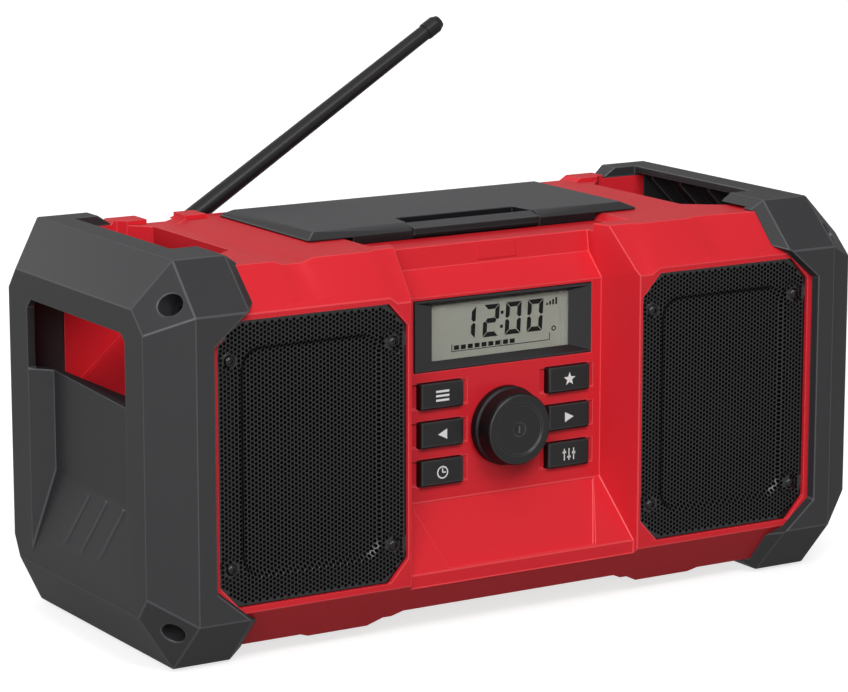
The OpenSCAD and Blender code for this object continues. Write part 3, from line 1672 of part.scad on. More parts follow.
front_housing();
rear_housing();
left_end_cap();
right_end_cap();
left_cap_screws();
right_cap_screws();
housing_screws();
feet();
left_baffle();
right_baffle();
left_grille();
right_grille();
left_grille_screws();
right_grille_screws();
left_speaker_basket();
right_speaker_basket();
left_speaker_cone();
right_speaker_cone();
left_speaker_magnet();
right_speaker_magnet();
display_bezel();
display_window();
display_module();
mode_button();
seek_down_button();
clock_button();
preset_button();
seek_up_button();
equaliser_button();
control_board();
encoder_body();
encoder_plunger();
encoder_shaft();
knob();
main_board();
power_supply();
mains_inlet();
storage_tub();
usb_socket();
audio_socket();
lid();
lid_seal();
lid_hinge_pins();
lid_latch();
lid_latch_pin();
battery_bay();
battery_terminals();
battery_door();
battery_door_pin();
battery_door_latch();
battery_latch_pin();
antenna_base();
antenna_pivot_screw();
antenna_whip();
antenna_tip();
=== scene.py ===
import math
import bmesh
import bpy
from mathutils import Matrix, Vector


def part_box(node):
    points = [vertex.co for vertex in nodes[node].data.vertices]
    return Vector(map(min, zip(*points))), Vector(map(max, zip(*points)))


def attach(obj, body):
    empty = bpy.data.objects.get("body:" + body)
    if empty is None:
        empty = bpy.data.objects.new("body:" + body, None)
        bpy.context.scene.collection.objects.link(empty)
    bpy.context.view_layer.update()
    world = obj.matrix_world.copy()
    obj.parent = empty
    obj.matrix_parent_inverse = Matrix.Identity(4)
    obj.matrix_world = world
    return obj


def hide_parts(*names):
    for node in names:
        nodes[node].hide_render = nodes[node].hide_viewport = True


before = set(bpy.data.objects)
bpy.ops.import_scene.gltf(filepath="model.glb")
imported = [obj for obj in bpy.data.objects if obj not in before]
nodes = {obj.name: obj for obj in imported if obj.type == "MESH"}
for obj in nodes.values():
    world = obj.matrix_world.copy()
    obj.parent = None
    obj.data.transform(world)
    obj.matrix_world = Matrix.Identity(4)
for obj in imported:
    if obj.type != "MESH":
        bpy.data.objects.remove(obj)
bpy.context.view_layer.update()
scene = bpy.context.scene
mm = 0.001
print("frame loaded, nodes:", len(nodes))


viewpoint = {
    "lens": 142.8,          # mm
    "sensor": 36.0,
    "place": (-0.8840, -1.4320, 0.4672),    # metres
    "azimuth": -31.543,     # degrees, round to the left of straight ahead
    "elevation": 11.475,
    "farthest": 50,         # metres that it sees
}


def setCamera():
    azimuth = math.radians(viewpoint["azimuth"])
    elevation = math.radians(viewpoint["elevation"])
    back = Vector((
        math.sin(azimuth) * math.cos(elevation),
        -math.cos(azimuth) * math.cos(elevation),
        math.sin(elevation),
    ))
    right = Vector((math.cos(azimuth), math.sin(azimuth), 0))
    up = back.cross(right)
    lens = bpy.data.cameras.new("productCamera")
    lens.lens = viewpoint["lens"]
    lens.sensor_width = viewpoint["sensor"]
    lens.sensor_fit = "HORIZONTAL"
    lens.clip_end = viewpoint["farthest"]
    camera = bpy.data.objects.new("productCamera", lens)
    scene.collection.objects.link(camera)
    turn = Matrix((right, up, back)).transposed().to_4x4()
    camera.matrix_world = Matrix.Translation(viewpoint["place"]) @ turn
    scene.camera = camera


setCamera()
print("camera set")


# effects that several materials share
grainEffect = {
    "size": 900,
    "drift": 14,            # scale of the slow drift in tone
    "fineDetail": 3,
    "slowDetail": 4,
    "fineShare": 0.45,      # of the tone
    "slowShare": 0.55,
}
brushEffect = {"size": 400, "stretch": 0.04, "detail": 5}
levelFaces = {"from": 0.86, "to": 0.96}     # upward part of the normal, where the mask of painted top light and shade starts and is full


def newGroup(name, inputs, outputs):
    group = bpy.data.node_groups.new(name, "ShaderNodeTree")
    for label, value in inputs:
        socket = group.interface.new_socket(label, in_out="INPUT", socket_type="NodeSocketFloat")
        socket.default_value = value
    for label in outputs:
        group.interface.new_socket(label, in_out="OUTPUT", socket_type="NodeSocketFloat")
    entry = group.nodes.new("NodeGroupInput")
    leave = group.nodes.new("NodeGroupOutput")
    return group, entry, leave


def mathNode(tree, operation, first, second=None):
    node = tree.nodes.new("ShaderNodeMath")
    node.operation = operation
    for socket, value in zip(node.inputs, (first, second)):
        if value is None:
            continue
        if hasattr(value, "is_linked"):
            tree.links.new(value, socket)
        else:
            socket.default_value = value
    return node.outputs[0]


def buildGrain():
    # fine spark-eroded texture of moulded plastic, and a slow drift in tone
    inputs = [("Size", grainEffect["size"]), ("Drift", grainEffect["drift"])]
    group, entry, leave = newGroup("mouldedGrain", inputs, ["Height", "Tone"])
    place = group.nodes.new("ShaderNodeTexCoord")
    fine = group.nodes.new("ShaderNodeTexNoise")
    fine.inputs["Detail"].default_value = grainEffect["fineDetail"]
    group.links.new(place.outputs["Object"], fine.inputs["Vector"])
    group.links.new(entry.outputs["Size"], fine.inputs["Scale"])
    slow = group.nodes.new("ShaderNodeTexNoise")
    slow.inputs["Detail"].default_value = grainEffect["slowDetail"]
    group.links.new(place.outputs["Object"], slow.inputs["Vector"])
    group.links.new(entry.outputs["Drift"], slow.inputs["Scale"])
    finePart = mathNode(group, "MULTIPLY", fine.outputs["Fac"], grainEffect["fineShare"])
    slowPart = mathNode(group, "MULTIPLY", slow.outputs["Fac"], grainEffect["slowShare"])
    mixed = mathNode(group, "ADD", finePart, slowPart)
    group.links.new(fine.outputs["Fac"], leave.inputs["Height"])
    group.links.new(mixed, leave.inputs["Tone"])
    return group


def buildBrushing():
    # long fine scratches along one direction
    inputs = [("Size", brushEffect["size"]), ("Stretch", brushEffect["stretch"])]
    group, entry, leave = newGroup("brushedLines", inputs, ["Height", "Tone"])
    place = group.nodes.new("ShaderNodeTexCoord")
    parts = group.nodes.new("ShaderNodeSeparateXYZ")
    joined = group.nodes.new("ShaderNodeCombineXYZ")
    group.links.new(place.outputs["Object"], parts.inputs[0])
    drawnOut = mathNode(group, "MULTIPLY", parts.outputs["X"], entry.outputs["Stretch"])
    group.links.new(drawnOut, joined.inputs["X"])
    group.links.new(parts.outputs["Y"], joined.inputs["Y"])
    group.links.new(parts.outputs["Z"], joined.inputs["Z"])
    lines = group.nodes.new("ShaderNodeTexNoise")
    lines.inputs["Detail"].default_value = brushEffect["detail"]
    group.links.new(joined.outputs[0], lines.inputs["Vector"])
    group.links.new(entry.outputs["Size"], lines.inputs["Scale"])
    group.links.new(lines.outputs["Fac"], leave.inputs["Height"])
    group.links.new(lines.outputs["Fac"], leave.inputs["Tone"])
    return group


def buildFaceUp():
    # mask of the faces that lie level and look up, where a finish's top colour paints light and shade
    inputs = [("From", levelFaces["from"]), ("To", levelFaces["to"])]
    group, entry, leave = newGroup("faceUp", inputs, ["Mask"])
    place = group.nodes.new("ShaderNodeTexCoord")
    parts = group.nodes.new("ShaderNodeSeparateXYZ")
    group.links.new(place.outputs["Normal"], parts.inputs[0])
    span = group.nodes.new("ShaderNodeMapRange")
    group.links.new(parts.outputs["Z"], span.inputs["Value"])
    group.links.new(entry.outputs["From"], span.inputs["From Min"])
    group.links.new(entry.outputs["To"], span.inputs["From Max"])
    group.links.new(span.outputs["Result"], leave.inputs["Mask"])
    return group


effects = {"grain": buildGrain(), "brushing": buildBrushing(), "faceUp": buildFaceUp()}
print("shared effects ready")


def srgb(red, green, blue):
    # a screen colour in 255ths as the linear one that the shaders take
    def linear(channel):
        c = channel / 255
        return c / 12.92 if c <= 0.04045 else ((c + 0.055) / 1.055) ** 2.4
    return (linear(red), linear(green), linear(blue), 1)


# colour and deep are the two ends of the drift in tone, top is painted light and shade on level faces that
# look up (darker on the red shell and charcoal, lighter on the lid), rough the span of roughness, grain and
# depth the texture, shine the plain reflection, gloss and glossRough the satin skin
finishes = {
    "redShell": {
        "colour": srgb(218, 42, 52), "deep": srgb(208, 34, 45), "top": srgb(192, 31, 40),
        "rough": (0.52, 0.62), "grain": 1100, "depth": 0.25, "shine": 0.05, "gloss": 0.25, "glossRough": 0.25,
    },
    "charcoalPlastic": {
        "colour": srgb(49, 49, 51), "deep": srgb(42, 42, 44), "top": srgb(38, 38, 40),
        "rough": (0.58, 0.68), "grain": 1300, "depth": 0.25, "shine": 0.06, "gloss": 0.4, "glossRough": 0.22,
    },
    "lidPlastic": {
        "colour": srgb(20, 20, 22), "deep": srgb(15, 15, 17), "top": srgb(58, 58, 60),
        "rough": (0.58, 0.68), "grain": 1300, "depth": 0.2, "shine": 0.06, "gloss": 0.35, "glossRough": 0.25,
    },
    "bezelPlastic": {
        "colour": srgb(30, 30, 32), "deep": srgb(24, 24, 26),
        "rough": (0.38, 0.46), "grain": 1500, "depth": 0.1, "gloss": 0.4, "glossRough": 0.25,
    },
    "buttonPlastic": {
        "colour": srgb(14, 14, 15), "deep": srgb(10, 10, 11),
        "rough": (0.40, 0.50), "grain": 1500, "depth": 0.12, "gloss": 0.3, "glossRough": 0.25,
    },
    "knobPlastic": {
        "colour": srgb(17, 17, 19), "deep": srgb(12, 12, 14),
        "rough": (0.40, 0.50), "grain": 1500, "depth": 0.12, "gloss": 0.32, "glossRough": 0.25,
    },
    "innerPlastic": {
        "colour": srgb(18, 18, 20), "deep": srgb(12, 12, 14),
        "rough": (0.6, 0.7), "grain": 900, "depth": 0.2, "shine": 0.04,
    },
    "softRubber": {
        "colour": srgb(24, 24, 26), "deep": srgb(18, 18, 20),
        "rough": (0.5, 0.62), "grain": 700, "depth": 0.2, "gloss": 0.18, "glossRough": 0.25,
    },
    "paperCone": {
        "colour": srgb(24, 24, 26), "deep": srgb(16, 16, 18),
        "rough": (0.7, 0.85), "grain": 500, "depth": 0.5, "shine": 0.04,
    },
    "ferrite": {
        "colour": srgb(74, 75, 78), "deep": srgb(58, 59, 62),
        "rough": (0.55, 0.7), "grain": 600, "depth": 0.4,
    },
    "solderMask": {
        "colour": srgb(34, 98, 62), "deep": srgb(26, 82, 50),
        "rough": (0.25, 0.35), "grain": 300, "depth": 0.1,
    },
    "supplyCase": {
        "colour": srgb(86, 88, 92), "deep": srgb(74, 76, 80),
        "rough": (0.5, 0.6), "grain": 900, "depth": 0.2,
    },
    "liquidCrystal": {
        "colour": srgb(226, 229, 215), "deep": srgb(218, 221, 206),
        "rough": (0.3, 0.36), "grain": 1800, "depth": 0.02,
    },
    "printedBlack": {
        "colour": srgb(10, 10, 10), "deep": srgb(7, 7, 7),
        "rough": (0.4, 0.5), "grain": 1800, "depth": 0.02,
    },
    "printedWhite": {
        "colour": srgb(236, 236, 236), "deep": srgb(224, 224, 224),
        "rough": (0.5, 0.6), "grain": 1200, "depth": 0.05,
    },
    "engravedBlack": {
        "colour": srgb(104, 105, 107), "deep": srgb(92, 93, 95),
        "rough": (0.34, 0.42), "grain": 1500, "depth": 0.05,
    },
}

# the rounded edges of a finish: a painted highlight, lighter and glossier than the faces, that also stands
# for a little wear from handling; top again paints light and shade on level faces
edges = {
    "redShell": {
        "colour": srgb(227, 70, 76), "deep": srgb(217, 55, 62), "top": srgb(210, 54, 60), "gloss": 0.5,
    },
    "charcoalPlastic": {
        "colour": srgb(74, 74, 77), "deep": srgb(64, 64, 67), "top": srgb(62, 62, 65), "gloss": 0.6,
    },
    "lidPlastic": {
        "colour": srgb(46, 46, 48), "deep": srgb(38, 38, 40), "top": srgb(84, 84, 86), "gloss": 0.5,
    },
    "buttonPlastic": {"colour": srgb(34, 34, 36), "deep": srgb(28, 28, 30), "gloss": 0.5},
    "knobPlastic": {"colour": srgb(36, 36, 38), "deep": srgb(30, 30, 32), "gloss": 0.5},
}

# brush is the scale of the fine scratches
metals = {
    "powderedSteel": {
        "colour": srgb(16, 16, 18), "deep": srgb(11, 11, 13),
        "rough": (0.36, 0.46), "metallic": 0.0, "brush": 600, "gloss": 0.5, "glossRough": 0.14,
    },
    "blackScrew": {
        "colour": srgb(58, 58, 60), "deep": srgb(44, 44, 46),
        "rough": (0.22, 0.3), "metallic": 0.7, "brush": 500,
    },
    "greyScrew": {
        "colour": srgb(44, 44, 46), "deep": srgb(34, 34, 36),
        "rough": (0.14, 0.2), "metallic": 0.85, "brush": 500,
    },
    "brightSteel": {
        "colour": srgb(196, 197, 200), "deep": srgb(170, 171, 175),
        "rough": (0.25, 0.36), "metallic": 1.0, "brush": 500,
    },
    "contactBrass": {
        "colour": srgb(206, 170, 96), "deep": srgb(186, 148, 78),
        "rough": (0.25, 0.35), "metallic": 1.0, "brush": 500,
    },
}

clearLook = {
    "colour": srgb(40, 42, 40), "deep": srgb(34, 36, 34), "rough": (0.04, 0.07), "grain": 500, "alpha": 0.06,
}

relief = {"height": 0.1, "scratches": 0.15}     # mm of bump, and how much of it a metal shows
plainShine = 0.12
satinFade = (0.15, 0.7)     # facing at which the satin skin starts to fade, and at which it is gone


def surface(name, look, effect, size, depth, metallic=0.0):
    material = bpy.data.materials.new(name)
    material.use_nodes = True
    tree = material.node_tree
    shader = tree.nodes["Principled BSDF"]
    shader.inputs["Metallic"].default_value = metallic
    shader.inputs["Specular IOR Level"].default_value = look.get("shine", plainShine)
    if "gloss" in look:
        # a satin skin that fades where it is seen at a low angle
        shader.inputs["Coat Roughness"].default_value = look["glossRough"]
        facing = tree.nodes.new("ShaderNodeLayerWeight")
        fade = tree.nodes.new("ShaderNodeMapRange")
        fade.inputs["From Min"].default_value, fade.inputs["From Max"].default_value = satinFade
        fade.inputs["To Min"].default_value = look["gloss"]
        fade.inputs["To Max"].default_value = 0
        tree.links.new(facing.outputs["Facing"], fade.inputs["Value"])
        tree.links.new(fade.outputs["Result"], shader.inputs["Coat Weight"])
    group = tree.nodes.new("ShaderNodeGroup")
    group.node_tree = effects[effect]
    group.inputs["Size"].default_value = size
    tint = tree.nodes.new("ShaderNodeMix")
    tint.data_type = "RGBA"
    tint.inputs["A"].default_value = look["deep"]
    tint.inputs["B"].default_value = look["colour"]
    tree.links.new(group.outputs["Tone"], tint.inputs["Factor"])
    tone = tint.outputs["Result"]
    # painted light and shade: level faces that look up take the top colour, darker on the red shell and
    # charcoal, lighter on the lid
    if "top" in look:
        paintedTopMask = tree.nodes.new("ShaderNodeGroup")
        paintedTopMask.node_tree = effects["faceUp"]
        paintedTopTone = tree.nodes.new("ShaderNodeMix")
        paintedTopTone.data_type = "RGBA"
        tree.links.new(paintedTopMask.outputs["Mask"], paintedTopTone.inputs["Factor"])
        tree.links.new(tone, paintedTopTone.inputs["A"])
        paintedTopTone.inputs["B"].default_value = look["top"]
        tone = paintedTopTone.outputs["Result"]
    tree.links.new(tone, shader.inputs["Base Color"])
    dull = tree.nodes.new("ShaderNodeMapRange")
    dull.inputs["To Min"].default_value = look["rough"][0]
    dull.inputs["To Max"].default_value = look["rough"][1]
    tree.links.new(group.outputs["Tone"], dull.inputs["Value"])
    tree.links.new(dull.outputs["Result"], shader.inputs["Roughness"])
    bump = tree.nodes.new("ShaderNodeBump")
    bump.inputs["Strength"].default_value = depth
    bump.inputs["Distance"].default_value = relief["height"] * mm
    tree.links.new(group.outputs["Height"], bump.inputs["Height"])
    tree.links.new(bump.outputs["Normal"], shader.inputs["Normal"])
    return material


materials = {}
for finish, look in finishes.items():
    materials[finish] = surface(finish, look, "grain", look["grain"], look["depth"])
# the painted edge highlights: each finish's look with a lighter colour and more gloss
for finish, look in edges.items():
    edgeHighlight = {**finishes[finish], **look}
    materials[finish + "Edge"] = surface(finish + "Edge", edgeHighlight, "grain", edgeHighlight["grain"], edgeHighlight["depth"])
for finish, look in metals.items():
    materials[finish] = surface(
        finish, look, "brushing", look["brush"], relief["scratches"], look["metallic"])


def buildClearWindow():
    clear = surface("clearWindow", clearLook, "grain", clearLook["grain"], 0.0)
    clear.node_tree.nodes["Principled BSDF"].inputs["Alpha"].default_value = clearLook["alpha"]
    return clear


materials["clearWindow"] = buildClearWindow()
print("materials ready:", len(materials))


# which finish each CAD node has
nodeFinish = {
    "redShell": ["front_housing", "rear_housing"],
    "charcoalPlastic": ["left_end_cap", "right_end_cap", "battery_door", "antenna_base"],
    "lidPlastic": ["lid", "lid_latch"],
    "bezelPlastic": ["display_bezel"],
    "buttonPlastic": ["mode_button", "seek_down_button", "clock_button", "preset_button",
                      "seek_up_button", "equaliser_button"],
    "knobPlastic": ["knob"],
    "innerPlastic": ["left_baffle", "right_baffle", "storage_tub", "battery_bay", "mains_inlet",
                     "audio_socket"],
    "softRubber": ["feet", "lid_seal", "battery_door_latch", "antenna_whip", "antenna_tip"],
    "paperCone": ["left_speaker_cone", "right_speaker_cone"],
    "ferrite": ["left_speaker_magnet", "right_speaker_magnet"],
    "solderMask": ["control_board", "main_board"],
    "supplyCase": ["power_supply"],
    "liquidCrystal": ["display_module"],
    "clearWindow": ["display_window"],
    "powderedSteel": ["left_grille", "right_grille", "left_speaker_basket", "right_speaker_basket"],
    "blackScrew": ["left_cap_screws", "right_cap_screws", "housing_screws", "antenna_pivot_screw"],
    "greyScrew": ["left_grille_screws", "right_grille_screws"],
    "brightSteel": ["lid_hinge_pins", "lid_latch_pin", "battery_door_pin", "battery_latch_pin",
                    "encoder_body", "encoder_plunger", "encoder_shaft", "usb_socket"],
    "contactBrass": ["battery_terminals"],
}

# mm, rounding of the nodes whose edges show
edgeRadius = {
    "front_housing": 0.5, "rear_housing": 0.25, "left_end_cap": 0.6, "right_end_cap": 0.6,
    "lid": 0.5, "lid_latch": 0.4, "battery_door": 0.5, "display_bezel": 0.3, "knob": 0.3,
    "mode_button": 1.0, "seek_down_button": 1.0, "clock_button": 1.0, "preset_button": 1.0,
    "seek_up_button": 1.0, "equaliser_button": 1.0,
    "mains_inlet": 0.4, "storage_tub": 0.4, "feet": 0.4,
}

rounding = {
    "weld": 0.002,          # mm, points nearer than this are one
    "steps": 3,             # faces across an edge
    "sharperThan": 28,      # degrees
}


def coat(obj, finish):
    obj.data.materials.clear()
    obj.data.materials.append(materials[finish])


def roundEdges(obj, radius):
    obj.data.shade_smooth()
    # the bevelled edges take the painted-highlight material, where the finish has one
    edgeHighlight = materials.get(obj.data.materials[0].name + "Edge")
    if edgeHighlight:
        obj.data.materials.append(edgeHighlight)
    weld = obj.modifiers.new("weld", "WELD")
    weld.merge_threshold = rounding["weld"] * mm
    bevel = obj.modifiers.new("edges", "BEVEL")
    bevel.width = radius * mm
    bevel.segments = rounding["steps"]
    bevel.limit_method = "ANGLE"
    bevel.angle_limit = math.radians(rounding["sharperThan"])
    bevel.harden_normals = True
    bevel.use_clamp_overlap = False
    bevel.miter_outer = "MITER_SHARP"
    bevel.material = 1 if edgeHighlight else -1      # the second slot holds the painted edge highlight, -1 keeps the plain one
    even = obj.modifiers.new("even", "WEIGHTED_NORMAL")
    even.keep_sharp = True


for finish, names in nodeFinish.items():
    for name in names:
        coat(nodes[name], finish)
for name, radius in edgeRadius.items():
    roundEdges(nodes[name], radius)
print("CAD nodes finished")


def meshObject(name, builder, finish, body):
    mesh = bpy.data.meshes.new(name)
    builder.normal_update()
    builder.to_mesh(mesh)
    builder.free()
    obj = bpy.data.objects.new(name, mesh)
    scene.collection.objects.link(obj)
    obj.data.materials.append(materials[finish])
    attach(obj, body)
    return obj


def plate(builder, outline, y, thickness):
    # a flat mark: outline is a list of x and z, its front lies at y
    front = [builder.verts.new((x, y, z)) for x, z in outline]
    rear = [builder.verts.new((x, y + thickness, z)) for x, z in outline]
    builder.faces.new(front)
    builder.faces.new(list(reversed(rear)))
    count = len(outline)
    for i in range(count):
        j = (i + 1) % count
        builder.faces.new((front[j], front[i], rear[i], rear[j]))


def ring(builder, x, z, inner, outer, y, thickness, steps=40):
    # a flat ring around x and z, its front lies at y
    loops = []
    for depth in (y, y + thickness):
        for radius in (inner, outer):
            loop = []
            for i in range(steps):
                angle = math.radians(360 * i / steps)
                point = (x + radius * math.cos(angle), depth, z + radius * math.sin(angle))
                loop.append(builder.verts.new(point))
            loops.append(loop)
    frontIn, frontOut, rearIn, rearOut = loops
    for i in range(steps):
        j = (i + 1) % steps
        builder.faces.new((frontIn[i], frontOut[i], frontOut[j], frontIn[j]))
        builder.faces.new((rearIn[j], rearOut[j], rearOut[i], rearIn[i]))
        builder.faces.new((frontOut[i], rearOut[i], rearOut[j], frontOut[j]))
        builder.faces.new((frontIn[j], rearIn[j], rearIn[i], frontIn[i]))


def bar(x, z, width, height):
    # outline of an upright rectangle around its middle
    return [(x - width / 2, z - height / 2), (x + width / 2, z - height / 2),
            (x + width / 2, z + height / 2), (x - width / 2, z + height / 2)]


def scaled(outline, x, z):
    # an outline in mm around a point given in metres
    return [(x + mm * u, z + mm * v) for u, v in outline]


# the perforated sheets that stand in for the two plain grille nodes, in mm
grilleSheet = {
    "pitch": 2.25,          # between hole centres
    "hole": 0.98,           # from a hexagon's middle to its corners
    "margin": 0.5,          # plain band along the edge
    "screwPlain": 3.6,      # plain disc under a screw head
    "headRadius": 3.0,
    "screwDimple": 0.6,     # depth of the ring pressed in round a screw
    "dimpleReach": 7.0,     # radius at which that ring ends
    "thickness": 0.8,
    "cornerX": 10.2,        # cut off at each corner
    "cornerZ": 11.2,
    "dishMargin": 12.0,     # from the edge to the pressed field
    "dishSlope": 4.0,       # over which it is pressed in
    "dishDepth": 2.5,
    "dishCorner": 12.0,
    "spare": 2,             # columns and rows laid past the outline, and cut off
}
keysPerMetre = 2e5          # cell corners that round to the same key are one point
cutTolerance = 1e-6         # metres


def outlinePlanes(low, high):
    # the octagon's eight sides as a point and an outward direction in x and z
    cutX = grilleSheet["cornerX"] * mm
    cutZ = grilleSheet["cornerZ"] * mm
    sides = [((low.x, low.z), (-1, 0)), ((high.x, high.z), (1, 0)), ((low.x, low.z), (0, -1)),
             ((high.x, high.z), (0, 1))]
    length = math.hypot(cutX, cutZ)
    for sx, x in ((-1, low.x), (1, high.x)):
        for sz, z in ((-1, low.z), (1, high.z)):
            sides.append(((x, z - sz * cutZ), (sx * cutZ / length, sz * cutX / length)))
    return sides


def dishDepthAt(x, z, low, high):
    # how far the sheet is pressed in at a point
    margin = grilleSheet["dishMargin"] * mm
    corner = grilleSheet["dishCorner"] * mm
    halfX = (high.x - low.x) / 2 - margin - corner
    halfZ = (high.z - low.z) / 2 - margin - corner
    offX = max(abs(x - (low.x + high.x) / 2) - halfX, 0)
    offZ = max(abs(z - (low.z + high.z) / 2) - halfZ, 0)
    inside = (corner - math.hypot(offX, offZ)) / (grilleSheet["dishSlope"] * mm)
    t = min(max(inside, 0), 1)
    return grilleSheet["dishDepth"] * mm * t * t * (3 - 2 * t)


def screwCentres(name):
    # the heads' middles, from the corners of the screws' own box
    low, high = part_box(name)
    reach = grilleSheet["headRadius"] * mm
    return [(x, z) for x in (low.x + reach, high.x - reach) for z in (low.z + reach, high.z - reach)]


def makeGrille(side):
    name = side + "_grille"
    low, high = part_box(name)
    pitch = grilleSheet["pitch"] * mm
    holeRadius = grilleSheet["hole"] * mm
    cellRadius = pitch / math.sqrt(3)
    margin = grilleSheet["margin"] * mm + holeRadius
    sides = outlinePlanes(low, high)
    screws = screwCentres(side + "_grille_screws")
    middle = ((low.x + high.x) / 2, (low.z + high.z) / 2)
    columns = int((high.x - low.x) / 2 / (cellRadius * 1.5)) + grilleSheet["spare"]
    rows = int((high.z - low.z) / 2 / pitch) + grilleSheet["spare"]
    builder = bmesh.new()
    corners = {}

    def corner(x, z):
        key = (round(x * keysPerMetre), round(z * keysPerMetre))
        if key not in corners:
            corners[key] = builder.verts.new((x, 0, z))
        return corners[key]

    # columns of cells lie one and a half cell radii apart, and every other one is half a pitch higher
    angles = [math.radians(60 * i) for i in range(6)]
    for column in range(-columns, columns + 1):
        for row in range(-rows, rows + 1):
            x = middle[0] + column * cellRadius * 1.5
            z = middle[1] + (row + 0.5 * (column % 2)) * pitch
            reach = min((p[0] - x) * n[0] + (p[1] - z) * n[1] for p, n in sides)
            if reach < -pitch:
                continue
            outer = [corner(x + cellRadius * math.cos(a), z + cellRadius * math.sin(a)) for a in angles]
            nearScrew = min(math.hypot(x - sx, z - sz) for sx, sz in screws)
            if reach < margin or nearScrew < grilleSheet["screwPlain"] * mm:
                builder.faces.new(outer)
                continue
            inner = [builder.verts.new((x + holeRadius * math.cos(a), 0, z + holeRadius * math.sin(a)))
                     for a in angles]
            for i in range(6):
                j = (i + 1) % 6
                builder.faces.new((outer[i], outer[j], inner[j], inner[i]))
    for (px, pz), (nx, nz) in sides:
        geometry = builder.verts[:] + builder.edges[:] + builder.faces[:]
        bmesh.ops.bisect_plane(builder, geom=geometry, plane_co=(px, 0, pz), plane_no=(nx, 0, nz),
                               clear_outer=True, dist=cutTolerance)
    dimple = grilleSheet["dimpleReach"] - grilleSheet["screwPlain"]
    for vert in builder.verts:
        depth = dishDepthAt(vert.co.x, vert.co.z, low, high)
        nearScrew = min(math.hypot(vert.co.x - sx, vert.co.z - sz) for sx, sz in screws)
        across = (nearScrew / mm - grilleSheet["screwPlain"]) / dimple
        if 0 < across < 1:
            depth += grilleSheet["screwDimple"] * mm * math.sin(math.pi * across)
        vert.co.y = low.y + depth
    bmesh.ops.solidify(builder, geom=builder.faces[:], thickness=grilleSheet["thickness"] * mm)
    bmesh.ops.recalc_face_normals(builder, faces=builder.faces)
    grille = meshObject(side + "GrilleSheet", builder, "powderedSteel", "radio")
    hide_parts(name)
    return grille


for side in ("left", "right"):
    sheet = makeGrille(side)
    print(side, "grille faces:", len(sheet.data.polygons))


# mm, x from the radio's middle and z from the ground
displayMarks = {
    "thickness": 0.06,
    "digits": "1200",
    "digitsAt": (-18.6, -4.9, 8.1, 21.0),
    "digitMiddle": 149.9,
    "digitWidth": 9.2,
    "digitHeight": 16.2,
    "slant": 0.055,             # sideways for each mm up
    "stroke": 2.4,
    "gap": 0.25,                # from the end of one bar to the next
    "waist": 0.4,               # share of half a stroke that an upright bar stops short of the middle
    "colonAt": 1.4,
    "colonDots": (-3.6, 3.4),   # from the digits' middle
    "colonDot": 1.6,
    "scaleMiddle": 1.0,
    "scaleZ": 136.6,
    "scaleLine": (57.6, 0.35),
    "scaleEndsAt": (-27.7, 29.7),
    "scaleEnd": (0.4, 3.6),
    "pointer": (0.35, 3.2),
    "square": (2.9, 2.2),
    "squaresFrom": ((-25.0, 7), (3.6, 2)),      # the first one's x, and how many
    "squarePitch": 4.0,
    "squareRise": 1.75,
    "receptionBars": 4,
    "receptionAt": (28.2, 154.3),   # middle of the first bar's foot
    "receptionPitch": 1.8,
    "receptionWidth": 1.1,
    "receptionLow": 1.1,        # height of the first bar
    "receptionStep": 0.8,
    "dotAt": (32.2, 142.2),
    "dotRadii": (0.75, 1.35),
}

# the bars of a digit: a on top, b and c down the right, d below, e and f up the left, g across the middle
litBars = {"0": "abcdef", "1": "bc", "2": "abged"}


def barOutline(kind):
    # one of a digit's seven bars around the digit's middle, with cut ends
    w, h, s = displayMarks["digitWidth"] / 2, displayMarks["digitHeight"] / 2, displayMarks["stroke"]
    gap = displayMarks["gap"]
    half = s / 2
    if kind in "ad":
        edge = h if kind == "a" else -h
        inner = edge - s if kind == "a" else edge + s
        return [(-w + gap, edge), (w - gap, edge), (w - s - gap, inner), (-w + s + gap, inner)]
    if kind == "g":
        return [(-w + gap + half, 0), (-w + s, half), (w - s, half), (w - gap - half, 0), (w - s, -half),
                (-w + s, -half)]
    x, inward = (w, -1) if kind in "bc" else (-w, 1)
    end, up = (h, 1) if kind in "bf" else (-h, -1)
    waist = half * displayMarks["waist"]
    return [(x, end - up * gap), (x, up * (gap + waist)), (x + inward * half, up * gap),
            (x + inward * s, up * (half + gap)), (x + inward * s, end - up * (s + gap))]


